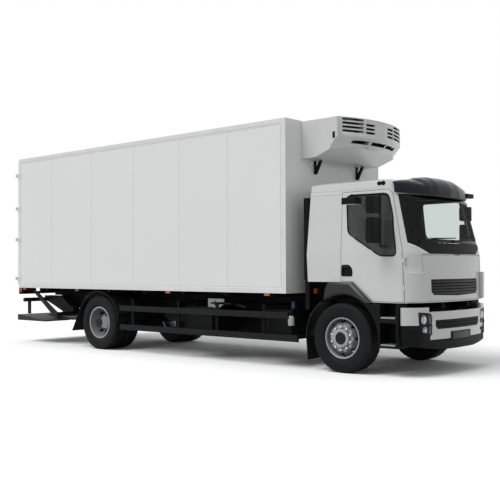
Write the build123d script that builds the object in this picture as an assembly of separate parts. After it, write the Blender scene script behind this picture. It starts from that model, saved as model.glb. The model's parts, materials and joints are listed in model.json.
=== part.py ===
"""Two-axle refrigerated box truck: ladder chassis, tilting cab, insulated body, nose-mounted cooling unit and
tuck-under tail lift. Lengths are in millimetres, +X forward, +Y to the left, +Z up. While it is modelled, X is
counted from the front axle; every piece is then shifted so that the origin lies on the ground, midway between
the front and the rear end."""

import math
import os
from collections import namedtuple

from build123d import *

os.makedirs("parts", exist_ok=True)

# Driving dimensions of the whole vehicle
WHEELBASE = 5600.0
GROUND_Z = 0.0
CLEAR = 6.0  # gap round a moving panel's outline at rest
OVERRUN = 60.0  # how far a cutting tool runs past what it cuts

# Wheels
TYRE_RADIUS = 507.0
TYRE_WIDTH = 300.0
TREAD_WIDTH = 250.0
TYRE_MIDDLE_RADIUS = 415.0
BEAD_RADIUS = 286.0
BEAD_WIDTH = 226.0
FRONT_TRACK = 2160.0
TWIN_WIDTH = 270.0
TWIN_TREAD = 232.0
TWIN_PITCH = 320.0
REAR_OUTER_FACE = 1240.0
RIM_LIP = 12.0
RIM_WALL = 9.0
RIM_FLANGE_RADIUS = 300.0
RIM_DISC_RADIUS = 205.0
RIM_DISC_PLATE = 14.0
RIM_DISC_OFFSET = 130.0
RIM_DISC_EDGE = 30.0
RIM_BORE_RADIUS = 141.0
STUD_CIRCLE_RADIUS = 167.5
STUD_COUNT = 10
NUT_RADIUS = 16.0
NUT_HEIGHT = 30.0
HAND_HOLE_COUNT = 8
HAND_HOLE_RADIUS = 31.0
HUB_RADIUS = 138.0
FRONT_HUB_NOSE = 38.0
REAR_HUB_NOSE = 125.0
DRUM_RADIUS = 205.0
DRUM_WIDTH = 180.0
RUNNING_GAP = 0.3

# Steering
KINGPIN_Y = 900.0
KINGPIN_RADIUS = 26.0
STEER_ARM = 190.0
STEER_ARM_Y_SHARE = 0.97
STEER_ARM_WIDTH = 46.0
STEER_ARM_THICK = 30.0

# Chassis frame
RAIL_TOP_Z = 965.0
RAIL_HEIGHT = 260.0
RAIL_FLANGE = 75.0
RAIL_WEB = 9.0
FRAME_WIDTH = 850.0
RAIL_FRONT_X = 1020.0
RAIL_SHORT = 305.0
CROSS_DEPTH = 170.0
CROSS_FLANGE = 90.0

# Insulated body
BODY_FRONT_X = -970.0
BODY_LENGTH = 7235.0
BODY_WIDTH = 2600.0
BODY_FLOOR_Z = 1140.0
BODY_HEIGHT = 2700.0
LIFT_PAST_BODY = 185.0
SIDE_WALL = 65.0
FRONT_WALL = 75.0
ROOF_WALL = 85.0
FLOOR_WALL = 120.0
TRIM_HEIGHT = 70.0
TRIM_PROUD = 4.0
TRIM_FRONT_WIDTH = 100.0
REAR_POST = 60.0
REAR_FRAME_DEPTH = 110.0
REAR_DOOR_THICK = 65.0
REAR_DOOR_SIDE_GAP = 28.0
REAR_PIN_BACK = 20.0
REAR_PIN_INSET = 5.0
REAR_PIN_RADIUS = 9.0
HINGE_STRAP_REACH = 210.0
HINGE_STRAP_HEIGHT = 70.0
HINGE_STRAP_THICK = 9.0
HINGE_LUG_HEIGHT = 26.0
LOCK_ROD_RADIUS = 13.0
LOCK_ROD_STANDOFF = 24.0

# Cab
CAB_REAR_X = -648.0
CAB_ROOF_Z = 2830.0
GLASS_INSET = 5.0
GLASS_THICK = 7.0
GLASS_GAP = 3.0
CAB_PIVOT_X = 1170.0
CAB_PIVOT_Z = 970.0

# Ends of the vehicle, counted from the front axle
FRONT_END = 1270.0
BODY_REAR_X = BODY_FRONT_X - BODY_LENGTH
RAIL_REAR_X = BODY_REAR_X + RAIL_SHORT
REAR_END = BODY_REAR_X - LIFT_PAST_BODY
REFERENCE_X = (FRONT_END + REAR_END) / 2


def block(x0, x1, y0, y1, z0, z1):
    """An upright block between two corners."""
    centre = Pos((x0 + x1) / 2, (y0 + y1) / 2, (z0 + z1) / 2)
    return centre * Box(abs(x1 - x0), abs(y1 - y0), abs(z1 - z0))


def side_prism(outline, y0, y1):
    """An outline in X and Z, drawn out along Y."""
    face = make_face(Polyline(*[(x, y0, z) for x, z in outline], close=True))
    return extrude(face, amount=y1 - y0, dir=(0, 1, 0))


def front_prism(outline, x0, x1):
    """An outline in Y and Z, drawn out along X."""
    face = make_face(Polyline(*[(x0, y, z) for y, z in outline], close=True))
    return extrude(face, amount=x1 - x0, dir=(1, 0, 0))


def rod(start, end, radius):
    """A round bar from one point to another."""
    a, b = Vector(*start), Vector(*end)
    return Solid.make_cylinder(radius, (b - a).length, Plane(origin=a, z_dir=b - a))


def bar_y(x, z, radius, y0, y1):
    """A round bar along Y."""
    return rod((x, min(y0, y1), z), (x, max(y0, y1), z), radius)


def ring_y(x, z, outer, inner, y0, y1):
    """A round tube along Y."""
    return bar_y(x, z, outer, y0, y1) - bar_y(x, z, inner, y0 - OVERRUN, y1 + OVERRUN)


def turned_y(profile, x, y, z):
    """A profile of (radius, across) points, turned about an axle along Y."""
    face = make_face(Polyline(*[(x, y + across, z + radius) for radius, across in profile], close=True))
    return revolve(face, axis=Axis((x, y, z), (0, 1, 0)), revolution_arc=360)


def save(name, *shapes):
    """Writes one node, moved from the front axle's frame to the vehicle's own."""
    solids = [s for shape in shapes for s in shape.solids()]
    moved = [Pos(-REFERENCE_X, 0, 0) * s for s in solids]
    export_step(Compound(children=moved) if len(moved) > 1 else moved[0], f"parts/{name}.step")


def tyre(x, y, width, tread):
    """One tyre: bead, sidewall, shoulder and tread, turned about its axle."""
    half, bead, flat = width / 2, BEAD_WIDTH / 2 * width / TYRE_WIDTH, tread / 2
    profile = [
        (BEAD_RADIUS, -bead),
        (RIM_FLANGE_RADIUS + RUNNING_GAP, -bead),
        (TYRE_MIDDLE_RADIUS, -half),
        (TYRE_RADIUS, -flat),
        (TYRE_RADIUS, flat),
        (TYRE_MIDDLE_RADIUS, half),
        (RIM_FLANGE_RADIUS + RUNNING_GAP, bead),
        (BEAD_RADIUS, bead),
    ]
    return turned_y(profile, x, y, TYRE_RADIUS)


def rim(x, y, width, side):
    """One wheel: a rim barrel with lips and a dished disc with hand holes, set off towards the given side."""
    half = BEAD_WIDTH / 2 * width / TYRE_WIDTH
    outer = BEAD_RADIUS - RUNNING_GAP
    barrel = [
        (RIM_FLANGE_RADIUS, -half - RIM_LIP),
        (RIM_FLANGE_RADIUS, -half - RUNNING_GAP),
        (outer, -half - RUNNING_GAP),
        (outer, half + RUNNING_GAP),
        (RIM_FLANGE_RADIUS, half + RUNNING_GAP),
        (RIM_FLANGE_RADIUS, half + RIM_LIP),
        (outer - RIM_WALL, half + RIM_LIP),
        (outer - RIM_WALL, -half - RIM_LIP),
    ]
    disc = [
        (outer - RIM_WALL / 2, side * RIM_DISC_EDGE),
        (outer - RIM_WALL / 2, side * (RIM_DISC_EDGE + RIM_DISC_PLATE)),
        (RIM_DISC_RADIUS, side * RIM_DISC_OFFSET),
        (RIM_BORE_RADIUS, side * RIM_DISC_OFFSET),
        (RIM_BORE_RADIUS, side * (RIM_DISC_OFFSET - RIM_DISC_PLATE)),
        (RIM_DISC_RADIUS, side * (RIM_DISC_OFFSET - RIM_DISC_PLATE)),
    ]
    wheel = turned_y(barrel, x, y, TYRE_RADIUS) + turned_y(disc, x, y, TYRE_RADIUS)
    hole_at = (RIM_DISC_RADIUS + outer) / 2
    for n in range(HAND_HOLE_COUNT):
        turn = math.radians(360 * n / HAND_HOLE_COUNT)
        wheel -= bar_y(
            x + hole_at * math.cos(turn),
            TYRE_RADIUS + hole_at * math.sin(turn),
            HAND_HOLE_RADIUS,
            y + side * RIM_DISC_EDGE / 2,
            y + side * (RIM_DISC_OFFSET + OVERRUN),
        )
    return wheel, y + side * RIM_DISC_OFFSET


def wheel_nuts(x, face_y, side):
    """The ring of nuts on a wheel disc."""
    nuts = []
    for n in range(STUD_COUNT):
        turn = math.radians(360 * (n + 0.5) / STUD_COUNT)
        at_x = x + STUD_CIRCLE_RADIUS * math.cos(turn)
        at_z = TYRE_RADIUS + STUD_CIRCLE_RADIUS * math.sin(turn)
        nuts.append(bar_y(at_x, at_z, NUT_RADIUS, face_y - side * RIM_DISC_PLATE, face_y + side * NUT_HEIGHT))
    return nuts



FRONT_WHEEL_Y = FRONT_TRACK / 2
OUTER_TWIN_Y = REAR_OUTER_FACE - TWIN_WIDTH / 2
INNER_TWIN_Y = OUTER_TWIN_Y - TWIN_PITCH
REAR_AXLE_X = -WHEELBASE
Slab = namedtuple("Slab", "x0 x1 y0 y1 z0 z1")


def front_wheel(side):
    """Tyre and rim of a steered wheel."""
    y = side * FRONT_WHEEL_Y
    wheel, face = rim(0, y, TYRE_WIDTH, side)
    for nut in wheel_nuts(0, face, side):
        wheel += nut
    wheel += bar_y(0, TYRE_RADIUS, HUB_RADIUS, face - side * 2 * RIM_DISC_PLATE, face + side * FRONT_HUB_NOSE)
    wheel += ring_y(0, TYRE_RADIUS, RIM_BORE_RADIUS + RIM_WALL, HUB_RADIUS - RIM_WALL,
                    face - side * 2 * RIM_DISC_PLATE, face - side * RIM_DISC_PLATE)
    drum_y = face - side * 2 * RIM_DISC_PLATE
    wheel += bar_y(0, TYRE_RADIUS, DRUM_RADIUS, drum_y - side * DRUM_WIDTH, drum_y)
    return tyre(0, y, TYRE_WIDTH, TREAD_WIDTH), wheel


def twin_wheel(side):
    """Two tyres and two rims that turn as one, joined by the hub between their discs."""
    outer, face = rim(REAR_AXLE_X, side * OUTER_TWIN_Y, TWIN_WIDTH, -side)
    inner, inner_face = rim(REAR_AXLE_X, side * INNER_TWIN_Y, TWIN_WIDTH, side)
    for nut in wheel_nuts(REAR_AXLE_X, face + side * RIM_DISC_PLATE, side):
        outer += nut
    nose = bar_y(REAR_AXLE_X, TYRE_RADIUS, HUB_RADIUS, inner_face - side * OVERRUN,
                 face + side * REAR_HUB_NOSE)
    collar = bar_y(REAR_AXLE_X, TYRE_RADIUS, RIM_DISC_RADIUS, inner_face, face)
    drum_y = inner_face - side * RIM_DISC_PLATE
    drum = bar_y(REAR_AXLE_X, TYRE_RADIUS, DRUM_RADIUS, drum_y - side * DRUM_WIDTH, drum_y)
    tyres = [tyre(REAR_AXLE_X, side * y, TWIN_WIDTH, TWIN_TREAD) for y in (OUTER_TWIN_Y, INNER_TWIN_Y)]
    return tyres, outer + inner + nose + collar + drum


for side, word in ((1, "left"), (-1, "right")):
    tyre_solid, rim_solid = front_wheel(side)
    save(f"tyre_front_{word}", tyre_solid)
    save(f"rim_front_{word}", rim_solid)
    twin_tyres, twin_rims = twin_wheel(side)
    save(f"tyres_rear_{word}", *twin_tyres)
    save(f"rims_rear_{word}", twin_rims)

# Chassis: ladder frame, axles, springs and driveline
RAIL_OUT = FRAME_WIDTH / 2
RAIL_LOW = RAIL_TOP_Z - RAIL_HEIGHT
REAR_CROSS_INSET = 200.0
REAR_CROSS_PITCH = 1200.0
CROSS_MEMBERS = (880.0, -780.0, -1900.0, -3300.0, -4700.0, RAIL_REAR_X + REAR_CROSS_INSET + REAR_CROSS_PITCH,
                 RAIL_REAR_X + REAR_CROSS_INSET)
SPRING_Y = 470.0
SPRING_HALF = 38.0
SPRING_Z = 655.0
SPRING_SAG = 90.0
SPRING_THICK = 60.0
FRONT_SPRING_REACH = 775.0
REAR_SPRING_REACH = 785.0
REAR_SPRING_Z = 685.0
AXLE_HALF = 62.0
BEAM_DROP = 40.0
KNUCKLE_GAP = 6.0
KINGPIN_EYE = 55.0
KINGPIN_HIGH = 110.0
SPINDLE_RADIUS = 45.0
REAR_TUBE_RADIUS = 68.0
DIFF_RADIUS = 215.0
DIFF_HALF = 150.0
SHAFT_RADIUS = 50.0
SHAFT_Z = 645.0
SHAFT_FRONT_X = -700.0
HANGER_HALF = 45.0
TILT_EAR_Y = 380.0
TILT_EAR_RADIUS = 34.0
TILT_PLATE = 12.0
TILT_LUG_HALF = 18.0
TILT_PIN_RADIUS = 15.0
Hanger = namedtuple("Hanger", "x low")
SPRING_HANGERS = (Hanger(820.0, 620.0), Hanger(-820.0, 620.0), Hanger(-4770.0, 660.0), Hanger(-6430.0, 660.0))


def chassis_frame():
    """Two channel rails joined by cross members, with the spring hangers."""
    frame = []
    for side in (1, -1):
        outer, inner = side * RAIL_OUT, side * (RAIL_OUT - RAIL_FLANGE)
        rail = block(RAIL_REAR_X, RAIL_FRONT_X, inner, outer, RAIL_LOW, RAIL_TOP_Z)
        rail -= block(RAIL_REAR_X - OVERRUN, RAIL_FRONT_X + OVERRUN, inner - side * OVERRUN,
                      outer - side * RAIL_WEB, RAIL_LOW + RAIL_WEB, RAIL_TOP_Z - RAIL_WEB)
        frame.append(rail)
        for hanger in SPRING_HANGERS:
            frame.append(block(hanger.x - HANGER_HALF, hanger.x + HANGER_HALF, outer - side * RAIL_WEB,
                               side * (SPRING_Y + SPRING_HALF + RAIL_WEB), hanger.low, RAIL_TOP_Z - RAIL_FLANGE))
    for x in CROSS_MEMBERS:
        frame.append(block(x - CROSS_FLANGE / 2, x + CROSS_FLANGE / 2, -RAIL_OUT + RAIL_WEB / 2,
                           RAIL_OUT - RAIL_WEB / 2, RAIL_TOP_Z - CROSS_DEPTH - RAIL_WEB, RAIL_TOP_Z - RAIL_WEB))
    for side in (1, -1):
        for step in (1, -1):
            y = side * TILT_EAR_Y + step * (TILT_LUG_HALF + CLEAR + TILT_PLATE / 2)
            frame.append(bar_y(CAB_PIVOT_X, CAB_PIVOT_Z, TILT_EAR_RADIUS, y - TILT_PLATE / 2,
                               y + TILT_PLATE / 2))
            frame.append(block(RAIL_FRONT_X - OVERRUN, CAB_PIVOT_X, y - TILT_PLATE / 2, y + TILT_PLATE / 2,
                               CAB_PIVOT_Z - TILT_EAR_RADIUS, CAB_PIVOT_Z + TILT_EAR_RADIUS))
        reach = TILT_LUG_HALF + CLEAR + TILT_PLATE
        frame.append(bar_y(CAB_PIVOT_X, CAB_PIVOT_Z, TILT_PIN_RADIUS, side * TILT_EAR_Y - reach,
                           side * TILT_EAR_Y + reach))
    return frame[0].fuse(*frame[1:])


def leaf_spring(x, reach, z, y):
    """A leaf pack as one bowed strip over an axle."""
    arc = ThreePointArc((x - reach, y, z), (x, y, z - SPRING_SAG), (x + reach, y, z))
    low = ThreePointArc((x + reach, y, z - SPRING_THICK), (x, y, z - SPRING_SAG - SPRING_THICK),
                        (x - reach, y, z - SPRING_THICK))
    face = make_face([arc, Line((x + reach, y, z), (x + reach, y, z - SPRING_THICK)), low,
                      Line((x - reach, y, z - SPRING_THICK), (x - reach, y, z))])
    return extrude(face, amount=SPRING_HALF, both=True, dir=(0, 1, 0))


save("chassis_frame", chassis_frame())
save("leaf_springs", *[leaf_spring(0, FRONT_SPRING_REACH, SPRING_Z + BEAM_DROP,
                                   side * SPRING_Y) for side in (1, -1)],
     *[leaf_spring(REAR_AXLE_X, REAR_SPRING_REACH, REAR_SPRING_Z + BEAM_DROP,
                   side * SPRING_Y) for side in (1, -1)])

BEAM_TOP = SPRING_Z + BEAM_DROP - SPRING_SAG - SPRING_THICK
front_axle = block(-AXLE_HALF, AXLE_HALF, -KINGPIN_Y, KINGPIN_Y, BEAM_TOP - 2 * AXLE_HALF, BEAM_TOP)
for side in (1, -1):
    front_axle += rod((0, side * KINGPIN_Y, BEAM_TOP - 2 * AXLE_HALF), (0, side * KINGPIN_Y, BEAM_TOP),
                      KINGPIN_EYE)
    front_axle -= rod((0, side * KINGPIN_Y, BEAM_TOP - 2 * AXLE_HALF - OVERRUN),
                      (0, side * KINGPIN_Y, BEAM_TOP + OVERRUN),
                      KINGPIN_RADIUS + RUNNING_GAP)
REAR_TUBE_END = INNER_TWIN_Y + RIM_DISC_OFFSET - RIM_DISC_PLATE - DRUM_WIDTH - RUNNING_GAP
rear_axle = bar_y(REAR_AXLE_X, TYRE_RADIUS, REAR_TUBE_RADIUS, -REAR_TUBE_END, REAR_TUBE_END)
rear_axle += bar_y(REAR_AXLE_X, TYRE_RADIUS, DIFF_RADIUS, -DIFF_HALF, DIFF_HALF)
rear_axle += rod((SHAFT_FRONT_X, 0, SHAFT_Z), (REAR_AXLE_X, 0, SHAFT_Z), SHAFT_RADIUS)
save("axles", front_axle, rear_axle)

# Knuckles, which carry the steered wheels on their kingpins
FORK_HALF = 50.0
FORK_PLATE = 40.0
FORK_IN = 40.0
UPRIGHT = 36.0
WHEEL_INNER_Y = FRONT_WHEEL_Y + RIM_DISC_OFFSET - 2 * RIM_DISC_PLATE - DRUM_WIDTH


def knuckle(side):
    """Fork over the axle's eye, kingpin, stub and steering arm."""
    low, high = BEAM_TOP - 2 * AXLE_HALF - KNUCKLE_GAP, BEAM_TOP + KNUCKLE_GAP
    inner, outer = side * (KINGPIN_Y - FORK_IN), side * (WHEEL_INNER_Y - KNUCKLE_GAP)
    body = block(-FORK_HALF, FORK_HALF, inner, outer, high, high + FORK_PLATE)
    body += block(-FORK_HALF, FORK_HALF, inner, outer, low - FORK_PLATE, low)
    body += block(-FORK_HALF, FORK_HALF, outer - side * UPRIGHT, outer, low - FORK_PLATE, high + FORK_PLATE)
    body += rod((0, side * KINGPIN_Y, low - FORK_PLATE), (0, side * KINGPIN_Y, high + FORK_PLATE),
                KINGPIN_RADIUS)
    body += bar_y(0, TYRE_RADIUS, SPINDLE_RADIUS, outer - side * UPRIGHT,
                  side * (WHEEL_INNER_Y - RUNNING_GAP))
    arm_y = side * KINGPIN_Y * STEER_ARM_Y_SHARE
    body += block(-STEER_ARM, -FORK_HALF / 2, arm_y - STEER_ARM_WIDTH / 2, arm_y + STEER_ARM_WIDTH / 2,
                  low - FORK_PLATE, low - FORK_PLATE + STEER_ARM_THICK)
    return body


for side, word in ((1, "left"), (-1, "right")):
    save(f"knuckle_{word}", knuckle(side))

# Heavy and hung pieces of the chassis
ENGINE = Slab(-700.0, 560.0, -300.0, 300.0, 600.0, 1000.0)
ENGINE_MOUNTS = (420.0, -600.0)
FUEL_TANK = Slab(-2950.0, -1650.0, 480.0, 1120.0, 440.0, 900.0)
BATTERY_BOX = Slab(-3350.0, -2700.0, -1130.0, -480.0, 460.0, 880.0)
AIR_TANK_RADIUS = 125.0
AirTank = namedtuple("AirTank", "x0 x1 y z")
AIR_TANKS = (AirTank(-4300.0, -3500.0, -620.0, 700.0), AirTank(-4300.0, -3500.0, 620.0, 700.0))
SILENCER = Slab(-1620.0, -1000.0, -1110.0, -520.0, 420.0, 900.0)
TANK_EDGE = 70.0

engine = block(*ENGINE)
for x in ENGINE_MOUNTS:
    engine += block(x - HANGER_HALF, x + HANGER_HALF, -RAIL_OUT + 3 * RAIL_WEB, RAIL_OUT - 3 * RAIL_WEB,
                    RAIL_LOW + RAIL_WEB, RAIL_LOW + RAIL_FLANGE)
save("engine_block", engine)


def hung_box(slab, edge):
    """A box beside the frame with rounded long edges and two straps that hold it on the rail."""
    box = block(*slab)
    box = fillet(box.edges().filter_by(Axis.X), edge)
    side = 1 if slab.y1 > 0 else -1
    near = min(abs(slab.y0), abs(slab.y1))
    for x in (slab.x0 + edge * 2, slab.x1 - edge * 2):
        box += block(x - edge / 2, x + edge / 2, side * RAIL_OUT, side * (near + edge), RAIL_LOW,
                     slab.z1 - edge)
    return box


save("fuel_tank", hung_box(FUEL_TANK, TANK_EDGE))
air_tanks = []
for tank in AIR_TANKS:
    side = 1 if tank.y > 0 else -1
    shape = rod((tank.x0, tank.y, tank.z), (tank.x1, tank.y, tank.z), AIR_TANK_RADIUS)
    for x in (tank.x0 + AIR_TANK_RADIUS, tank.x1 - AIR_TANK_RADIUS):
        shape += block(x - RAIL_FLANGE / 2, x + RAIL_FLANGE / 2, side * RAIL_OUT, tank.y,
                       RAIL_LOW, RAIL_TOP_Z - RAIL_FLANGE)
    air_tanks.append(shape)
save("side_boxes", hung_box(BATTERY_BOX, TANK_EDGE / 2), hung_box(SILENCER, TANK_EDGE), *air_tanks)

# Side guards between the wheels
GUARD_FACE_Y = 1262.0
GUARD_THICK = 28.0
GuardRail = namedtuple("GuardRail", "x0 x1 z0 z1")
GUARD_RAILS = (GuardRail(-4960.0, -970.0, 750.0, 850.0), GuardRail(-4950.0, -780.0, 405.0, 505.0))
GUARD_POSTS = (-1480.0, -2500.0, -3420.0, -4620.0)
GUARD_POST_HALF = 30.0


def side_guard(side):
    """Two rails on posts that reach in to the frame."""
    outer, inner = side * GUARD_FACE_Y, side * (GUARD_FACE_Y - GUARD_THICK)
    guard = [block(rail.x0, rail.x1, inner, outer, rail.z0, rail.z1) for rail in GUARD_RAILS]
    for x in GUARD_POSTS:
        guard.append(block(x - GUARD_POST_HALF, x + GUARD_POST_HALF, inner - side * GUARD_THICK, inner,
                           GUARD_RAILS[1].z0, RAIL_TOP_Z))
        guard.append(block(x - GUARD_POST_HALF, x + GUARD_POST_HALF, side * RAIL_OUT,
                           inner - side * GUARD_THICK,
                           RAIL_TOP_Z - GUARD_POST_HALF, RAIL_TOP_Z))
    return guard[0].fuse(*guard[1:])


save("side_guards", side_guard(1), side_guard(-1))

# Mudguards
REAR_GUARD_RADIUS = 590.0
REAR_GUARD_SHEET = 8.0
REAR_GUARD_IN = 600.0
REAR_GUARD_OUT = 1262.0
REAR_GUARD_FRONT_ANGLE = 4.0
REAR_GUARD_REAR_ANGLE = 148.0
REAR_FLAP_X = -6396.0
REAR_FLAP_Z = 317.0
FRONT_GUARD_RADIUS = 625.0
FRONT_GUARD_IN = 940.0
FRONT_GUARD_OUT = 1240.0
FRONT_GUARD_TOP_ANGLE = 124.0
FRONT_STAY_ANGLE = 150.0
FRONT_FLAP_X = -600.0
FRONT_FLAP_Z = 156.0
GUARD_STAY_RADIUS = 17.0


def arc_sheet(x, radius, sheet, start, end, y0, y1):
    """A curved sheet over a wheel, between two angles counted from the front."""
    def at(r, angle):
        turn = math.radians(angle)
        return (x + r * math.cos(turn), y0, TYRE_RADIUS + r * math.sin(turn))
    middle = (start + end) / 2
    far = radius + sheet
    face = make_face([
        ThreePointArc(at(radius, start), at(radius, middle), at(radius, end)),
        Line(at(radius, end), at(far, end)),
        ThreePointArc(at(far, end), at(far, middle), at(far, start)),
        Line(at(far, start), at(radius, start)),
    ])
    return extrude(face, amount=abs(y1 - y0), dir=(0, math.copysign(1, y1 - y0), 0))


def flap(x0, z0, x1, z1, sheet, y0, y1):
    """A straight sheet that hangs from the end of a mudguard."""
    outline = [(x0, z0), (x0 - sheet, z0), (x1 - sheet, z1), (x1, z1)]
    return side_prism(outline, min(y0, y1), max(y0, y1))


def ring_place(x, radius, angle):
    """The X and Z of a place on a circle round a wheel."""
    turn = math.radians(angle)
    return x + radius * math.cos(turn), TYRE_RADIUS + radius * math.sin(turn)


rear_guards, rear_flaps, front_guards, front_flaps = [], [], [], []
for side in (1, -1):
    y0, y1 = side * REAR_GUARD_IN, side * REAR_GUARD_OUT
    guard = arc_sheet(REAR_AXLE_X, REAR_GUARD_RADIUS, REAR_GUARD_SHEET, REAR_GUARD_FRONT_ANGLE,
                      REAR_GUARD_REAR_ANGLE, y0, y1)
    for angle in (REAR_GUARD_FRONT_ANGLE * 5, REAR_GUARD_REAR_ANGLE - REAR_GUARD_FRONT_ANGLE * 5):
        x, z = ring_place(REAR_AXLE_X, REAR_GUARD_RADIUS + GUARD_STAY_RADIUS, angle)
        guard += bar_y(x, z, GUARD_STAY_RADIUS, side * RAIL_OUT, y1 - side * GUARD_STAY_RADIUS)
    rear_guards.append(guard)
    x, z = ring_place(REAR_AXLE_X, REAR_GUARD_RADIUS + REAR_GUARD_SHEET, REAR_GUARD_REAR_ANGLE)
    rear_flaps.append(flap(x, z, REAR_FLAP_X, REAR_FLAP_Z, REAR_GUARD_SHEET, y0, y1))
    y0, y1 = side * FRONT_GUARD_IN, side * FRONT_GUARD_OUT
    guard = arc_sheet(0, FRONT_GUARD_RADIUS, REAR_GUARD_SHEET, FRONT_GUARD_TOP_ANGLE, 180, y0, y1)
    x, z = ring_place(0, FRONT_GUARD_RADIUS + GUARD_STAY_RADIUS, FRONT_STAY_ANGLE)
    guard += bar_y(x, z, GUARD_STAY_RADIUS, side * RAIL_OUT, y1 - side * GUARD_STAY_RADIUS)
    front_guards.append(guard)
    x, z = ring_place(0, FRONT_GUARD_RADIUS, 180)
    front_flaps.append(flap(x, z, FRONT_FLAP_X, FRONT_FLAP_Z, REAR_GUARD_SHEET, y0, y1))
save("mudguards", *rear_guards, *front_guards)
save("mudflaps", *rear_flaps, *front_flaps)

# Insulated body
BODY_TOP_Z = BODY_FLOOR_Z + BODY_HEIGHT
BODY_HALF = BODY_WIDTH / 2
WALL_REAR_X = BODY_REAR_X + REAR_FRAME_DEPTH
INNER_HALF = BODY_HALF - SIDE_WALL
SUBFRAME_HALF = 45.0
BEARER_HEIGHT = 60.0
BEARER_HALF = 40.0
LAMP_BAR_HALF = 60.0
BEARER_SHARES = (0.045, 0.184, 0.322, 0.460, 0.599, 0.737, 0.875)
SUB_RAIL_Z = BODY_FLOOR_Z - BEARER_HEIGHT

save("body_sides", *[block(WALL_REAR_X, BODY_FRONT_X, side * INNER_HALF, side * BODY_HALF, BODY_FLOOR_Z,
                           BODY_TOP_Z)
                     for side in (1, -1)])
save("body_front_wall", block(BODY_FRONT_X - FRONT_WALL, BODY_FRONT_X, -INNER_HALF, INNER_HALF,
                              BODY_FLOOR_Z, BODY_TOP_Z))
INNER_FRONT_X = BODY_FRONT_X - FRONT_WALL
save("body_floor", block(WALL_REAR_X, INNER_FRONT_X, -INNER_HALF, INNER_HALF, BODY_FLOOR_Z,
                         BODY_FLOOR_Z + FLOOR_WALL))
save("body_roof", block(WALL_REAR_X, INNER_FRONT_X, -INNER_HALF, INNER_HALF, BODY_TOP_Z - ROOF_WALL,
                        BODY_TOP_Z))
rear_frame = block(BODY_REAR_X, WALL_REAR_X, -BODY_HALF, BODY_HALF, BODY_FLOOR_Z, BODY_TOP_Z)
rear_frame -= block(BODY_REAR_X - OVERRUN, WALL_REAR_X + OVERRUN, -INNER_HALF, INNER_HALF,
                    BODY_FLOOR_Z + FLOOR_WALL, BODY_TOP_Z - ROOF_WALL)
save("rear_frame", rear_frame)
sub = []
for side in (1, -1):
    y = side * (RAIL_OUT - SUBFRAME_HALF)
    sub.append(block(BODY_REAR_X + LAMP_BAR_HALF, INNER_FRONT_X, y - SUBFRAME_HALF, y + SUBFRAME_HALF,
                     RAIL_TOP_Z, SUB_RAIL_Z))
for share in BEARER_SHARES:
    x = BODY_FRONT_X - share * BODY_LENGTH
    sub.append(block(x - BEARER_HALF, x + BEARER_HALF, -INNER_HALF, INNER_HALF, SUB_RAIL_Z, BODY_FLOOR_Z))

# Rear doors with their hinges and lock rods
DOOR_GAP = 3.0
DOOR_LOW_Z = BODY_FLOOR_Z + FLOOR_WALL / 2
DOOR_HIGH_Z = BODY_TOP_Z - ROOF_WALL / 2
DOOR_BACK_X = BODY_REAR_X - DOOR_GAP - REAR_DOOR_THICK
PIN_X = DOOR_BACK_X - REAR_PIN_BACK
PIN_Y = BODY_HALF + REAR_PIN_INSET
HINGE_SHARES = (0.07, 0.374, 0.615, 0.874)
HINGE_HEIGHTS = [BODY_FLOOR_Z + share * BODY_HEIGHT for share in HINGE_SHARES]
LOCK_ROD_SHARES = (0.35, 0.86)
LOCK_BRACKET_SHARES = (0.04, 0.35, 0.65, 0.96)
LOCK_HANDLE_RISE = 760.0
LOCK_HANDLE_Z = BODY_FLOOR_Z + LOCK_HANDLE_RISE
HANDLE_REACH = 330.0
KNUCKLE_RADIUS = 14.0
BLADE_REACH = 75.0


def rear_door(side):
    """One leaf with hinge straps, lock rods, their guides and handles."""
    leaf_edge = BODY_HALF - REAR_DOOR_SIDE_GAP
    parts = [block(DOOR_BACK_X, DOOR_BACK_X + REAR_DOOR_THICK, side * DOOR_GAP, side * leaf_edge,
                   DOOR_LOW_Z, DOOR_HIGH_Z)]
    face = DOOR_BACK_X
    for z in HINGE_HEIGHTS:
        parts.append(block(face - HINGE_STRAP_THICK, face, side * (leaf_edge - HINGE_STRAP_REACH),
                           side * leaf_edge,
                           z - HINGE_STRAP_HEIGHT / 2, z + HINGE_STRAP_HEIGHT / 2))
        parts.append(block(PIN_X, face, side * (leaf_edge - KNUCKLE_RADIUS), side * leaf_edge,
                           z - HINGE_LUG_HEIGHT / 2, z + HINGE_LUG_HEIGHT / 2))
        parts.append(block(PIN_X - REAR_PIN_RADIUS, PIN_X + REAR_PIN_RADIUS,
                           side * (leaf_edge - KNUCKLE_RADIUS), side * PIN_Y,
                           z - HINGE_LUG_HEIGHT / 2, z + HINGE_LUG_HEIGHT / 2))
        parts.append(rod((PIN_X, side * PIN_Y, z - HINGE_LUG_HEIGHT / 2),
                         (PIN_X, side * PIN_Y, z + HINGE_LUG_HEIGHT / 2), KNUCKLE_RADIUS))
    rod_x = face - LOCK_ROD_STANDOFF
    for share in LOCK_ROD_SHARES:
        y = side * share * leaf_edge
        parts.append(rod((rod_x, y, DOOR_LOW_Z), (rod_x, y, DOOR_HIGH_Z), LOCK_ROD_RADIUS))
        for height_share in LOCK_BRACKET_SHARES:
            z = DOOR_LOW_Z + height_share * (DOOR_HIGH_Z - DOOR_LOW_Z)
            parts.append(block(rod_x, face, y - 2 * LOCK_ROD_RADIUS, y + 2 * LOCK_ROD_RADIUS,
                               z - LOCK_ROD_RADIUS, z + LOCK_ROD_RADIUS))
        inner = y - side * HANDLE_REACH
        if side * inner < DOOR_GAP:
            inner = side * 3 * LOCK_ROD_RADIUS
        parts.append(block(rod_x - LOCK_ROD_RADIUS, rod_x, y, inner, LOCK_HANDLE_Z - LOCK_ROD_RADIUS,
                           LOCK_HANDLE_Z + LOCK_ROD_RADIUS))
    return parts[0].fuse(*parts[1:])


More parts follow.
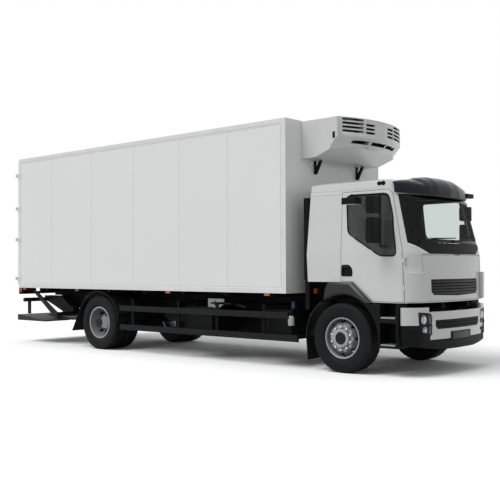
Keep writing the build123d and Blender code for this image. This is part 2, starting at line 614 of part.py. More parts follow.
def hinge_blades(side):
    """The fixed halves of the door hinges, bent round from the body's side."""
    blades = []
    for z in HINGE_HEIGHTS:
        for step in (1, -1):
            z0 = z + step * (HINGE_LUG_HEIGHT / 2 + RUNNING_GAP)
            z1 = z0 + step * HINGE_LUG_HEIGHT
            low, high = min(z0, z1), max(z0, z1)
            blade = rod((PIN_X, side * PIN_Y, low), (PIN_X, side * PIN_Y, high), KNUCKLE_RADIUS)
            blade += block(PIN_X, BODY_REAR_X + BLADE_REACH, side * BODY_HALF,
                           side * (BODY_HALF + HINGE_STRAP_THICK), low, high)
            blades.append(blade)
    return blades


for side, word in ((1, "left"), (-1, "right")):
    save(f"rear_door_{word}", rear_door(side))

# Trims of the body: corner strips, cant rails and sill rails
TRIM_X = BODY_FRONT_X - TRIM_FRONT_WIDTH
trims = []
for side in (1, -1):
    face = side * BODY_HALF
    out = face + side * TRIM_PROUD
    for z0, z1 in ((BODY_FLOOR_Z, BODY_FLOOR_Z + TRIM_HEIGHT), (BODY_TOP_Z - TRIM_HEIGHT, BODY_TOP_Z)):
        trims.append(block(BODY_REAR_X + BLADE_REACH + DOOR_GAP, TRIM_X, face, out, z0, z1))
    trims.append(block(TRIM_X, BODY_FRONT_X + TRIM_PROUD, face, out, BODY_FLOOR_Z, BODY_TOP_Z))
save("body_trims", *trims, *hinge_blades(1), *hinge_blades(-1))

# Rear lamp bar, hung from the body's floor, with a lamp box at each end
LAMP_BAR_INSET = 60.0
LAMP_BAR_LOW = 135.0
LAMP_BAR_HEIGHT = 50.0
LAMP_BOX_LENGTH = 360.0
LAMP_BOX_BACK = 25.0
LAMP_BOX_SHORT = 40.0
LAMP_BAR_END = BODY_HALF - LAMP_BAR_INSET
LAMP_STAY_Y = 700.0
LAMP_BAR = Slab(BODY_REAR_X - LAMP_BAR_HALF, BODY_REAR_X + LAMP_BAR_HALF, -LAMP_BAR_END, LAMP_BAR_END,
                BODY_FLOOR_Z - LAMP_BAR_LOW, BODY_FLOOR_Z - LAMP_BAR_LOW + LAMP_BAR_HEIGHT)
LAMP_BOX = Slab(LAMP_BAR.x0 - LAMP_BOX_BACK, LAMP_BAR.x1 - LAMP_BOX_SHORT, LAMP_BAR_END - LAMP_BOX_LENGTH,
                LAMP_BAR_END,
                LAMP_BAR.z0 - TRIM_PROUD, BODY_FLOOR_Z - DOOR_GAP)
lamp_bar = block(*LAMP_BAR)
for side in (1, -1):
    lamp_bar += block(LAMP_BAR.x0, LAMP_BAR.x1, side * LAMP_STAY_Y - BEARER_HALF,
                      side * LAMP_STAY_Y + BEARER_HALF,
                      LAMP_BAR.z0, BODY_FLOOR_Z)
lamp_boxes = [block(LAMP_BOX.x0, LAMP_BOX.x1, side * LAMP_BOX.y0, side * LAMP_BOX.y1, LAMP_BOX.z0,
                    LAMP_BOX.z1)
              for side in (1, -1)]
save("subframe", sub[0].fuse(*sub[1:]), lamp_bar)
save("rear_lamps", *[box - lamp_bar for box in lamp_boxes])

# Cooling unit on the front wall: a bowed cover with a chin, cut by rows of air slots
UNIT_HALF = 900.0
UNIT_BELOW_TOP = 10.0
UNIT_HEIGHT = 595.0
UNIT_FRONT_X = -60.0
UNIT_SIDE_X = -275.0
UNIT_CORNER_SHARE = 0.5
UNIT_CHIN = 130.0
UNIT_CHIN_HEIGHT = 135.0
UNIT_FRONT_RISE = 165.0
UNIT_KINK_X = -700.0
UNIT_KINK_RISE = 8.0
UNIT_TOP_Z = BODY_TOP_Z - UNIT_BELOW_TOP
UNIT_WALL_Z = UNIT_TOP_Z - UNIT_HEIGHT
UNIT_FRONT_Z = UNIT_WALL_Z + UNIT_FRONT_RISE
UNIT_KINK_Z = UNIT_WALL_Z + UNIT_KINK_RISE
UNIT_CHIN_Z = UNIT_FRONT_Z + UNIT_CHIN_HEIGHT
COVER_JOINT_X = -420.0
SlotGroup = namedtuple("SlotGroup", "y0 y1 low high")
SLOT_HEIGHT = 34.0
SLOT_DEPTH = 70.0
SLOT_PITCH = 60.0
SLOT_TOP = 16.0
SLOT_ROWS = 4
SLOT_GROUPS = (SlotGroup(425.0, 860.0, 0, 4), SlotGroup(175.0, 385.0, 0, 3))
CHIN_SLOTS = ((-190.0, 190.0), (235.0, 600.0), (-600.0, -235.0))
CHIN_SLOT_RISE = 45.0
CHIN_SLOT_HEIGHT = 46.0
CHIN_SLOT_BACK = 60.0


def unit_section(z, inset):
    """The cooling unit's bowed plan at a height, drawn in at the front by an inset."""
    front, side_x = UNIT_FRONT_X - inset, UNIT_SIDE_X - inset
    middle_y = UNIT_HALF * UNIT_CORNER_SHARE
    middle_x = front - (UNIT_FRONT_X - UNIT_SIDE_X) * UNIT_CORNER_SHARE ** 2
    return make_face([
        Line((BODY_FRONT_X, -UNIT_HALF, z), (side_x, -UNIT_HALF, z)),
        Spline((side_x, -UNIT_HALF, z), (middle_x, -middle_y, z), (front, 0, z), (middle_x, middle_y, z),
               (side_x, UNIT_HALF, z)),
        Line((side_x, UNIT_HALF, z), (BODY_FRONT_X, UNIT_HALF, z)),
        Line((BODY_FRONT_X, UNIT_HALF, z), (BODY_FRONT_X, -UNIT_HALF, z)),
    ])


unit_head = extrude(unit_section(UNIT_CHIN_Z, 0), amount=UNIT_TOP_Z - UNIT_CHIN_Z, dir=(0, 0, 1))
unit_chin = loft([unit_section(UNIT_FRONT_Z, UNIT_CHIN), unit_section(UNIT_CHIN_Z, 0)], ruled=True)
unit_low = extrude(unit_section(UNIT_WALL_Z, UNIT_CHIN), amount=UNIT_FRONT_Z - UNIT_WALL_Z, dir=(0, 0, 1))
unit_profile = [(BODY_FRONT_X, UNIT_WALL_Z), (UNIT_KINK_X, UNIT_KINK_Z), (UNIT_SIDE_X, UNIT_FRONT_Z),
                (UNIT_FRONT_X + OVERRUN, UNIT_FRONT_Z), (UNIT_FRONT_X + OVERRUN, UNIT_TOP_Z), (BODY_FRONT_X,
                                                            UNIT_TOP_Z)]
unit = (unit_head + unit_chin + unit_low) & side_prism(unit_profile, -UNIT_HALF, UNIT_HALF)
joint_tool = block(COVER_JOINT_X, UNIT_FRONT_X + OVERRUN, -UNIT_HALF - OVERRUN, UNIT_HALF + OVERRUN,
                   UNIT_WALL_Z - OVERRUN, UNIT_TOP_Z + OVERRUN)
unit_cover = unit & joint_tool
for group in SLOT_GROUPS:
    for side in (1, -1):
        for n in range(group.low, group.high):
            z = UNIT_TOP_Z - SLOT_TOP - SLOT_HEIGHT - (SLOT_ROWS - 1 - n) * SLOT_PITCH
            y = (group.y0 + group.y1) / 2
            front = UNIT_FRONT_X - (UNIT_FRONT_X - UNIT_SIDE_X) * (y / UNIT_HALF) ** 2
            unit_cover -= block(front - SLOT_DEPTH, UNIT_FRONT_X + OVERRUN, side * group.y0, side * group.y1,
                                z, z + SLOT_HEIGHT)
for y0, y1 in CHIN_SLOTS:
    z = UNIT_FRONT_Z + CHIN_SLOT_RISE
    y = max(abs(y0), abs(y1)) * UNIT_CORNER_SHARE
    front = UNIT_FRONT_X - UNIT_CHIN - (UNIT_FRONT_X - UNIT_SIDE_X) * (y / UNIT_HALF) ** 2
    unit_cover -= block(front - CHIN_SLOT_BACK, UNIT_FRONT_X + OVERRUN, y0, y1, z, z + CHIN_SLOT_HEIGHT)
save("cooling_unit_cover", unit_cover)
EVAPORATOR_DEPTH = 420.0
EVAPORATOR_HALF = 800.0
EVAPORATOR_HEIGHT = 335.0
EVAPORATOR = Slab(INNER_FRONT_X - EVAPORATOR_DEPTH, INNER_FRONT_X, -EVAPORATOR_HALF, EVAPORATOR_HALF,
                  BODY_TOP_Z - ROOF_WALL - EVAPORATOR_HEIGHT, BODY_TOP_Z - ROOF_WALL)
save("cooling_unit_housing", unit - joint_tool, block(*EVAPORATOR))
STRUT_HALF = 26.0
STRUT_THICK = 30.0
STRUT_DROP = 180.0
STRUT_REACH = 110.0
STRUT_PLATE = 14.0
STRUT_PLACES = (-550.0, 630.0)
struts = []
for y in STRUT_PLACES:
    low = UNIT_WALL_Z - STRUT_DROP
    bar = block(BODY_FRONT_X, BODY_FRONT_X + STRUT_PLATE, y - STRUT_HALF, y + STRUT_HALF, low - STRUT_THICK,
                UNIT_KINK_Z)
    bar += side_prism([(BODY_FRONT_X, low), (BODY_FRONT_X, low - STRUT_THICK),
                       (BODY_FRONT_X + STRUT_THICK, low - STRUT_THICK),
                       (BODY_FRONT_X + STRUT_REACH + STRUT_THICK, UNIT_KINK_Z), (BODY_FRONT_X + STRUT_REACH,
                                                            UNIT_KINK_Z)],
                      y - STRUT_HALF, y + STRUT_HALF)
    struts.append(bar - unit)
save("cooling_unit_struts", *struts)


# Cab: a few level sections, skinned straight from one to the next
Section = namedtuple("Section", "z rear nose shoulder_x shoulder_y side_x half")
CAB_SECTIONS = (
    Section(1035.0, -648.0, 1238.0, 1160.0, 840.0, 960.0, 1150.0),
    Section(1730.0, -680.0, 1215.0, 1138.0, 840.0, 935.0, 1152.0),
    Section(2590.0, -640.0, 1020.0, 925.0, 800.0, 700.0, 1100.0),
    Section(2770.0, -630.0, 955.0, 850.0, 780.0, 600.0, 1082.0),
    Section(2810.0, -590.0, 800.0, 710.0, 690.0, 450.0, 915.0),
)
CORNER_X_SHARE = 0.60
CORNER_Y_SHARE = 0.34
SHOULDER_INSET_SHARE = 0.45
CAB_SKIN = 60.0
CAB_FLOOR = 60.0
ROOF_JOINT_Z = 2668.0
CAB_MIDDLE_X = 800.0
DoorPoint = namedtuple("DoorPoint", "x z")
CAB_UNDERSIDE = (DoorPoint(1330.0, 1035.0), DoorPoint(494.0, 1035.0), DoorPoint(153.0, 1322.0),
                 DoorPoint(-760.0, 1322.0))
DOOR_OUTLINE = (DoorPoint(-55.0, 1330.0), DoorPoint(157.0, 1330.0), DoorPoint(503.0, 1045.0),
                DoorPoint(1000.0, 1045.0),
                DoorPoint(968.0, 1769.0), DoorPoint(850.0, 2292.0), DoorPoint(780.0, 2590.0),
                DoorPoint(715.0, 2645.0), DoorPoint(-55.0, 2640.0))
WINDOW_OUTLINE = (DoorPoint(22.0, 2585.0), DoorPoint(62.0, 2035.0), DoorPoint(612.0, 1698.0),
                  DoorPoint(885.0, 1694.0),
                  DoorPoint(803.0, 2290.0), DoorPoint(722.0, 2585.0))
WINDOW_CORNER = 40.0
LID_THICK = 30.0
LID_GAP = 8.0
LID_TOP_HALF = 885.0
LID_LOW_HALF = 832.0
LID_LOW_Z = 1050.0
LID_HIGH_Z = 1710.0
LID_PIN_X = 1208.0
LID_PIN_Z = LID_HIGH_Z
LID_PIN_RADIUS = 5.0
LID_PIN_Y = 100.0
LID_PIN_LENGTH = 100.0
LID_EAR = 14.0
COWL_LOW_HALF = 700.0
COWL_HIGH_HALF = 1053.0
COWL_LOW_Z = LID_HIGH_Z + 2 * CLEAR
COWL_THICK = 24.0
SCREEN_LOW_Z = 1880.0
SCREEN_HIGH_Z = 2575.0
SCREEN_LOW_HALF = 1053.0
SCREEN_HIGH_HALF = 1008.0
DOOR_INNER_Y = 850.0
GrillePoint = namedtuple("GrillePoint", "y z")
GRILLE_OUTLINE = (GrillePoint(700.0, 1363.0), GrillePoint(700.0, 1190.0), GrillePoint(650.0, 1140.0),
                  GrillePoint(0.0, 1120.0),
                  GrillePoint(-650.0, 1140.0), GrillePoint(-700.0, 1190.0), GrillePoint(-700.0, 1363.0))
GRILLE_SLATS = 5
GRILLE_SLAT = 26.0
GRILLE_BACK = 22.0
GRILLE_SINK = 5.0
HINGE_X = 998.0
HINGE_Y = 1134.0
HINGE_RADIUS = 6.0
HINGE_HALF = 30.0
HINGE_EAR = 18.0
HINGE_PLATE_HALF = 4.0
HINGE_LEAF = 50.0
HINGE_ROOT = 40.0
HINGE_LEVELS = (1250.0, 1630.0)


def cab_section(row, inset):
    """One level section of the cab, drawn in by an inset."""
    half, shoulder_y = row.half - inset, row.shoulder_y - inset * SHOULDER_INSET_SHARE
    shoulder_x, side_x = row.shoulder_x - inset, row.side_x - inset * SHOULDER_INSET_SHARE
    nose, rear, z = row.nose - inset, row.rear + inset, row.z
    corner_x = side_x + CORNER_X_SHARE * (shoulder_x - side_x)
    corner_y = half - CORNER_Y_SHARE * (half - shoulder_y)
    return make_face([
        Line((rear, -half, z), (side_x, -half, z)),
        ThreePointArc((side_x, -half, z), (corner_x, -corner_y, z), (shoulder_x, -shoulder_y, z)),
        ThreePointArc((shoulder_x, -shoulder_y, z), (nose, 0, z), (shoulder_x, shoulder_y, z)),
        ThreePointArc((shoulder_x, shoulder_y, z), (corner_x, corner_y, z), (side_x, half, z)),
        Line((side_x, half, z), (rear, half, z)),
        Line((rear, half, z), (rear, -half, z)),
    ])


def cab_body(inset):
    """The cab's whole volume between its sections, drawn in by an inset."""
    rows = list(CAB_SECTIONS)
    if inset > CAB_SKIN / 2:
        rows[-1] = rows[-1]._replace(z=rows[-1].z - inset)
        rows[-2] = rows[-2]._replace(z=rows[-2].z - inset)
    return loft([cab_section(row, inset) for row in rows], ruled=True)


def offset_outline(points, gap, corner=0.0):
    """An outline in X and Z drawn in by a gap, its corners rounded where a radius is given."""
    face = make_face(Polyline(*[(p.x, p.z) for p in points], close=True))
    if gap:
        face = offset(face, amount=-gap, kind=Kind.INTERSECTION)
    return fillet(face.vertices(), radius=corner) if corner else face


def across(face, y0, y1):
    """A flat outline in X and Z, drawn out between two places on Y."""
    upright = Plane(origin=(0, min(y0, y1), 0), x_dir=(1, 0, 0), z_dir=(0, -1, 0))
    return extrude(upright * face, amount=abs(y1 - y0), dir=(0, 1, 0))


def side_cut(points, gap, side, corner=0.0):
    """A tool through one side of the cab, drawn in by a gap."""
    return across(offset_outline(points, gap, corner), side * DOOR_INNER_Y, side * (BODY_HALF + OVERRUN))


def lid_outline(gap):
    """The front lid's tapered outline in Y and Z, drawn in by a gap."""
    low, high = LID_LOW_HALF - gap, LID_TOP_HALF - gap
    return [(-low, LID_LOW_Z + gap), (low, LID_LOW_Z + gap), (high, LID_HIGH_Z - gap),
            (-high, LID_HIGH_Z - gap)]


under = [(p.x, p.z) for p in CAB_UNDERSIDE]
under_tool = side_prism(under + [(under[-1][0], GROUND_Z), (under[0][0], GROUND_Z)], -BODY_HALF, BODY_HALF)
floor_tool = Pos(0, 0, CAB_FLOOR) * under_tool
outer_cab = cab_body(0)
cavity = cab_body(CAB_SKIN)
room = cavity - floor_tool
cab_whole = outer_cab - room - under_tool
front_panel_tool = front_prism(lid_outline(0), CAB_MIDDLE_X, FRONT_END + OVERRUN)
lid_tool = front_prism(lid_outline(CLEAR), CAB_MIDDLE_X, FRONT_END + OVERRUN)
cowl_tool = front_prism([(-COWL_LOW_HALF, COWL_LOW_Z), (COWL_LOW_HALF, COWL_LOW_Z),
                         (COWL_HIGH_HALF, SCREEN_LOW_Z),
                         (-COWL_HIGH_HALF, SCREEN_LOW_Z)], CAB_MIDDLE_X, FRONT_END + OVERRUN)
screen_tool = front_prism([(-SCREEN_LOW_HALF, SCREEN_LOW_Z), (SCREEN_LOW_HALF, SCREEN_LOW_Z),
                           (SCREEN_HIGH_HALF, SCREEN_HIGH_Z), (-SCREEN_HIGH_HALF, SCREEN_HIGH_Z)],
                          CAB_MIDDLE_X, FRONT_END + OVERRUN)
front_lid = (outer_cab - cab_body(LID_THICK)) & lid_tool
cab_cowl = (outer_cab - cab_body(COWL_THICK)) & cowl_tool
windscreen = (cab_body(GLASS_INSET) - cab_body(GLASS_INSET + GLASS_THICK)) & screen_tool
cab_whole -= (outer_cab - cab_body(LID_THICK + LID_GAP)) & front_panel_tool
cab_whole -= cab_cowl
middle = LID_PIN_Y - LID_EAR
cab_whole -= block(LID_PIN_X - LID_EAR, FRONT_END, -middle, middle, LID_HIGH_Z - LID_EAR, COWL_LOW_Z - GLASS_GAP)
for side in (1, -1):
    y0, y1 = side * LID_PIN_Y, side * (LID_PIN_Y + LID_PIN_LENGTH)
    cab_whole -= block(LID_PIN_X - LID_EAR, FRONT_END, y0, y1, LID_HIGH_Z - LID_EAR, COWL_LOW_Z - GLASS_GAP)
    front_lid += block(LID_PIN_X - LID_PIN_RADIUS, LID_PIN_X + LID_PIN_RADIUS, y0 + side * GLASS_GAP,
                       y1 - side * GLASS_GAP,
                       LID_HIGH_Z - LID_EAR, LID_PIN_Z)
    for y, out in ((y0, -side), (y1, side)):
        ear = block(LID_PIN_X - LID_EAR / 2, LID_PIN_X + LID_PIN_RADIUS, y, y + out * LID_EAR,
                    LID_PIN_Z - LID_EAR / 2, COWL_LOW_Z - GLASS_GAP)
        front_lid -= block(LID_PIN_X - LID_EAR, FRONT_END, y - out * GLASS_GAP,
                           y + out * (LID_EAR + GLASS_GAP),
                           LID_PIN_Z - LID_EAR, LID_HIGH_Z + LID_EAR)
        cab_whole += ear
    cab_whole -= bar_y(LID_PIN_X, LID_PIN_Z, LID_PIN_RADIUS + RUNNING_GAP,
                       y0 - side * (LID_EAR + GLASS_GAP), y1 + side * (LID_EAR + GLASS_GAP))
    front_lid += bar_y(LID_PIN_X, LID_PIN_Z, LID_PIN_RADIUS, y0 - side * LID_EAR, y1 + side * LID_EAR)
cab_whole -= screen_tool
grille_tool = front_prism([(p.y, p.z) for p in GRILLE_OUTLINE], CAB_MIDDLE_X, FRONT_END + OVERRUN)
front_lid -= grille_tool
grille = (cab_body(GRILLE_BACK) - cab_body(LID_THICK)) & grille_tool
slat_band = (cab_body(GRILLE_SINK) - cab_body(GRILLE_BACK)) & grille_tool
grille_low, grille_high = min(p.z for p in GRILLE_OUTLINE), max(p.z for p in GRILLE_OUTLINE)
for n in range(GRILLE_SLATS):
    z = grille_low + (n + 1) * (grille_high - grille_low) / (GRILLE_SLATS + 1)
    grille += slat_band & block(CAB_MIDDLE_X, FRONT_END, -BODY_HALF, BODY_HALF, z - GRILLE_SLAT / 2,
                                z + GRILLE_SLAT / 2)
save("front_grille", grille)
hinge_ears = []
for side, word in ((1, "left"), (-1, "right")):
    door_gap_tool = side_cut(DOOR_OUTLINE, 0, side)
    door_tool = side_cut(DOOR_OUTLINE, CLEAR, side)
    window_tool = side_cut(WINDOW_OUTLINE, 0, side, WINDOW_CORNER)
    cab_door = ((outer_cab - cavity) & door_tool) - window_tool
    for z in HINGE_LEVELS:
        y = side * HINGE_Y
        root = side * (HINGE_Y - HINGE_ROOT)
        cab_door += rod((HINGE_X, y, z - HINGE_HALF), (HINGE_X, y, z + HINGE_HALF), HINGE_RADIUS)
        cab_door += block(HINGE_X - HINGE_LEAF, HINGE_X, y - HINGE_PLATE_HALF, y + HINGE_PLATE_HALF,
                          z - HINGE_HALF, z + HINGE_HALF)
        for step in (1, -1):
            z0, z1 = sorted((z + step * (HINGE_HALF + RUNNING_GAP), z + step * (HINGE_HALF + HINGE_EAR)))
            ear = rod((HINGE_X, y, z0), (HINGE_X, y, z1), HINGE_RADIUS)
            ear += block(HINGE_X, HINGE_X + 4 * HINGE_RADIUS, y, root, z0, z1)
            hinge_ears.append(ear)
    pane = (cab_body(GLASS_INSET) - cab_body(GLASS_INSET + GLASS_THICK)) & window_tool
    cab_whole -= door_gap_tool
    save(f"cab_door_{word}", cab_door)
    save(f"cab_door_glass_{word}", pane)
save("front_lid", front_lid)
save("windscreen", windscreen)
roof_tool = block(-BODY_HALF, FRONT_END + OVERRUN, -BODY_HALF, BODY_HALF, ROOF_JOINT_Z, CAB_ROOF_Z + OVERRUN)
front_tool = block(CAB_MIDDLE_X, FRONT_END + OVERRUN, -BODY_HALF, BODY_HALF, GROUND_Z, ROOF_JOINT_Z)
back_tool = block(-BODY_HALF, CAB_REAR_X + 2 * CAB_SKIN, -BODY_HALF, BODY_HALF, GROUND_Z, ROOF_JOINT_Z)
cab_floor = cab_whole & (floor_tool & cavity)
cab_rest = cab_whole - (floor_tool & cavity)
for side in (1, -1):
    y0, y1 = side * (TILT_EAR_Y - TILT_LUG_HALF), side * (TILT_EAR_Y + TILT_LUG_HALF)
    lug = block(CAB_PIVOT_X - TILT_EAR_RADIUS, CAB_PIVOT_X + TILT_EAR_RADIUS * 2 / 3, y0, y1, CAB_PIVOT_Z,
                CAB_UNDERSIDE[0].z + TILT_PLATE)
    lug += bar_y(CAB_PIVOT_X, CAB_PIVOT_Z, TILT_EAR_RADIUS - TILT_PLATE / 2, y0, y1)
    lug -= bar_y(CAB_PIVOT_X, CAB_PIVOT_Z, TILT_PIN_RADIUS + RUNNING_GAP, y0 - OVERRUN, y1 + OVERRUN)
    cab_floor += lug - (cab_whole - cab_floor)
save("cab_floor", cab_floor)
save("cab_roof", cab_rest & roof_tool)
save("cab_back", (cab_rest & back_tool))
cab_front = (cab_rest & front_tool) - back_tool
for ear in hinge_ears:
    cab_front += ear
save("cab_front", cab_front)
save("cab_sides", cab_rest - roof_tool - front_tool - back_tool)

# Inside of the cab
Seat = namedtuple("Seat", "x y half z")
SEATS = (Seat(-55.0, 600.0, 240.0, 1382.0), Seat(-55.0, -600.0, 240.0, 1382.0))
SEAT_BASE = 230.0
SEAT_DEPTH = 480.0
SEAT_CUSHION = 120.0
SEAT_BACK_HEIGHT = 660.0
SEAT_BACK_THICK = 120.0
SEAT_LEAN = 120.0
HEAD_HALF = 130.0
HEAD_HEIGHT = 160.0
DASH = Slab(800.0, 1050.0, -1035.0, 1035.0, 1480.0, 1780.0)
DASH_FACE = 120.0
WHEEL_X = 530.0
WHEEL_Z = 1830.0
WHEEL_RADIUS = 215.0
WHEEL_GRIP = 14.0
WHEEL_TILT = 55.0


def seat(row):
    """Base, cushion, leaning back and headrest."""
    back_x = row.x - SEAT_DEPTH / 2
    top = row.z + SEAT_BASE + SEAT_CUSHION
    shape = block(row.x - SEAT_DEPTH / 3, row.x + SEAT_DEPTH / 3, row.y - row.half / 2,
                  row.y + row.half / 2, row.z, row.z + SEAT_BASE)
    shape += block(back_x, back_x + SEAT_DEPTH, row.y - row.half, row.y + row.half, row.z + SEAT_BASE, top)
    back = [(back_x, row.z + SEAT_BASE), (back_x + SEAT_BACK_THICK, row.z + SEAT_BASE),
            (back_x + SEAT_BACK_THICK - SEAT_LEAN, top + SEAT_BACK_HEIGHT), (back_x - SEAT_LEAN,
                                                            top + SEAT_BACK_HEIGHT)]
    shape += side_prism(back, row.y - row.half, row.y + row.half)
    head_x = back_x - SEAT_LEAN
    shape += block(head_x, head_x + SEAT_BACK_THICK, row.y - HEAD_HALF, row.y + HEAD_HALF,
                   top + SEAT_BACK_HEIGHT, top + SEAT_BACK_HEIGHT + HEAD_HEIGHT)
    return shape


save("seats", *[seat(row) for row in SEATS])
dash_profile = [(DASH.x0, DASH.z0), (DASH.x1, DASH.z0), (DASH.x1, DASH.z1), (DASH.x0 + DASH_FACE, DASH.z1),
                (DASH.x0, DASH.z1 - DASH_FACE)]
dash = side_prism(dash_profile, DASH.y0, DASH.y1) & cab_body(CAB_SKIN + RUNNING_GAP)
wheel_plane = Plane(origin=(WHEEL_X, SEATS[0].y, WHEEL_Z), z_dir=(-math.cos(math.radians(WHEEL_TILT)), 0,
                                                            math.sin(math.radians(WHEEL_TILT))))
hand_wheel = wheel_plane * Torus(WHEEL_RADIUS, WHEEL_GRIP)
hand_wheel += wheel_plane * Box(2 * WHEEL_RADIUS, 3 * WHEEL_GRIP, WHEEL_GRIP)
column = wheel_plane * Pos(0, 0, -WHEEL_RADIUS) * Cylinder(3 * WHEEL_GRIP, 2 * WHEEL_RADIUS)
hand_wheel += column - dash
save("dashboard", dash, hand_wheel)

# Sun visor over the windscreen
VisorPoint = namedtuple("VisorPoint", "x z")
VISOR_PROFILE = (VisorPoint(760.0, 2600.0), VisorPoint(760.0, 2800.0), VisorPoint(850.0, 2868.0),
                 VisorPoint(940.0, 2855.0),
                 VisorPoint(1040.0, 2785.0), VisorPoint(1105.0, 2680.0), VisorPoint(1130.0,
                                                            2572.0), VisorPoint(1085.0, 2566.0),
                 VisorPoint(1030.0, 2590.0), VisorPoint(900.0, 2600.0))
VISOR_CROWN = (VisorPoint(1075.0, 2745.0), VisorPoint(600.0, 2825.0), VisorPoint(0.0, 2868.0))
VISOR_NOSE_X = 1130.0
VISOR_SHOULDER_X = 1035.0
VISOR_SHOULDER_Y = 640.0
VISOR_CORNER_X = 905.0
VISOR_CORNER_Y = 940.0
VISOR_SIDE_X = 800.0
VISOR_SIDE_Y = 1072.0
VISOR_BACK_X = 760.0
FRONT_MIRROR = Slab(930.0, 1020.0, 720.0, 960.0, 2610.0, 2680.0)


def visor_plan():
    """The visor's bowed plan as a column."""
    z = VISOR_PROFILE[-3].z - OVERRUN
    face = make_face([
        Line((VISOR_BACK_X, -VISOR_SIDE_Y, z), (VISOR_SIDE_X, -VISOR_SIDE_Y, z)),
        ThreePointArc((VISOR_SIDE_X, -VISOR_SIDE_Y, z), (VISOR_CORNER_X, -VISOR_CORNER_Y, z),
                      (VISOR_SHOULDER_X, -VISOR_SHOULDER_Y, z)),
        ThreePointArc((VISOR_SHOULDER_X, -VISOR_SHOULDER_Y, z), (VISOR_NOSE_X, 0, z),
                      (VISOR_SHOULDER_X, VISOR_SHOULDER_Y, z)),
        ThreePointArc((VISOR_SHOULDER_X, VISOR_SHOULDER_Y, z), (VISOR_CORNER_X, VISOR_CORNER_Y, z),
                      (VISOR_SIDE_X, VISOR_SIDE_Y, z)),
        Line((VISOR_SIDE_X, VISOR_SIDE_Y, z), (VISOR_BACK_X, VISOR_SIDE_Y, z)),
        Line((VISOR_BACK_X, VISOR_SIDE_Y, z), (VISOR_BACK_X, -VISOR_SIDE_Y, z)),
    ])
    return extrude(face, amount=VISOR_PROFILE[2].z + OVERRUN - z, dir=(0, 0, 1))


crown = [(p.x, p.z) for p in VISOR_CROWN] + [(-p.x, p.z) for p in reversed(VISOR_CROWN[:-1])]
crown_tool = front_prism(crown + [(-VISOR_SIDE_Y - OVERRUN, GROUND_Z), (VISOR_SIDE_Y + OVERRUN, GROUND_Z)],
                         VISOR_BACK_X, FRONT_END)
visor = side_prism([(p.x, p.z) for p in VISOR_PROFILE], -VISOR_SIDE_Y,
                   VISOR_SIDE_Y) & visor_plan() & crown_tool
visor -= outer_cab
visor = max(visor.solids(), key=lambda s: s.volume)
front_mirror = fillet(block(*FRONT_MIRROR).edges().filter_by(Axis.Y), GLASS_THICK * 2)
arm_y = (FRONT_MIRROR.y0 + FRONT_MIRROR.y1) / 2
front_mirror += rod(((FRONT_MIRROR.x0 + FRONT_MIRROR.x1) / 2, arm_y, (FRONT_MIRROR.z0 + FRONT_MIRROR.z1) / 2),
                    (FRONT_MIRROR.x0 - 2 * OVERRUN, arm_y,
                     (FRONT_MIRROR.z0 + FRONT_MIRROR.z1) / 2), GLASS_THICK)
save("sun_visor", visor + (front_mirror - outer_cab))

# Mirrors, carried by the doors; a front mirror is carried by the cab
Mirror = namedtuple("Mirror", "x y z half_y half_z depth")
MIRRORS = (Mirror(660.0, 1385.0, 2050.0, 115.0, 176.0, 120.0), Mirror(660.0, 1385.0, 2404.0, 115.0, 115.0,
                                                            120.0))
KERB_MIRROR = Slab(160.0, 420.0, 1290.0, 1450.0, 2430.0, 2525.0)
ARM_RADIUS = 14.0
ARM_TOP_Z = 2560.0
ARM_LOW_Z = 1830.0
ARM_ROOT_X = 760.0
ARM_OUT_Y = 1290.0
ARM_SINK = 30.0
ARM_ROOT_SHARE = 0.9


def cab_side_y(z):
    """The half width of the cab's side at a height."""
    for low, high in zip(CAB_SECTIONS, CAB_SECTIONS[1:]):
        if low.z <= z <= high.z:
            return low.half + (high.half - low.half) * (z - low.z) / (high.z - low.z)


def mirror_set(side, kerb):
    """The two door mirrors on their tube, and on one side the kerb mirror."""
    tube_x = MIRRORS[0].x + MIRRORS[0].depth / 2 - ARM_RADIUS / 3
    parts = [rod((tube_x, side * ARM_OUT_Y, ARM_LOW_Z - ARM_RADIUS),
                 (tube_x, side * ARM_OUT_Y, ARM_TOP_Z + ARM_RADIUS), ARM_RADIUS)]
    for z in (ARM_LOW_Z, ARM_TOP_Z):
        parts.append(rod((tube_x, side * (cab_side_y(z) - ARM_SINK), z), (tube_x, side * ARM_OUT_Y, z),
                         ARM_RADIUS * ARM_ROOT_SHARE))
    for row in MIRRORS:
        housing = Box(row.depth, 2 * row.half_y, 2 * row.half_z)
        housing = fillet(housing.edges().filter_by(Axis.Z), ARM_RADIUS * 2)
        parts.append(Pos(row.x, side * row.y, row.z) * housing)
    if kerb:
        housing = block(KERB_MIRROR.x0, KERB_MIRROR.x1, side * KERB_MIRROR.y0, side * KERB_MIRROR.y1,
                        KERB_MIRROR.z0, KERB_MIRROR.z1)
        housing = fillet(housing.edges().filter_by(Axis.Z), 2 * ARM_RADIUS)
        x = (KERB_MIRROR.x0 + KERB_MIRROR.x1) / 2
        parts.append(housing)
        hang_y = side * (KERB_MIRROR.y0 + KERB_MIRROR.y1) / 2
        parts.append(rod((tube_x, side * ARM_OUT_Y, ARM_TOP_Z), (x, hang_y, ARM_TOP_Z),
                         ARM_RADIUS * ARM_ROOT_SHARE))
        parts.append(rod((x, hang_y, KERB_MIRROR.z1 - ARM_SINK), (x, hang_y, ARM_TOP_Z + ARM_RADIUS),
                         ARM_RADIUS))
    return parts[0].fuse(*parts[1:])


for side, word, kerb in ((1, "left", False), (-1, "right", True)):
    save(f"mirrors_{word}", mirror_set(side, kerb) - outer_cab)

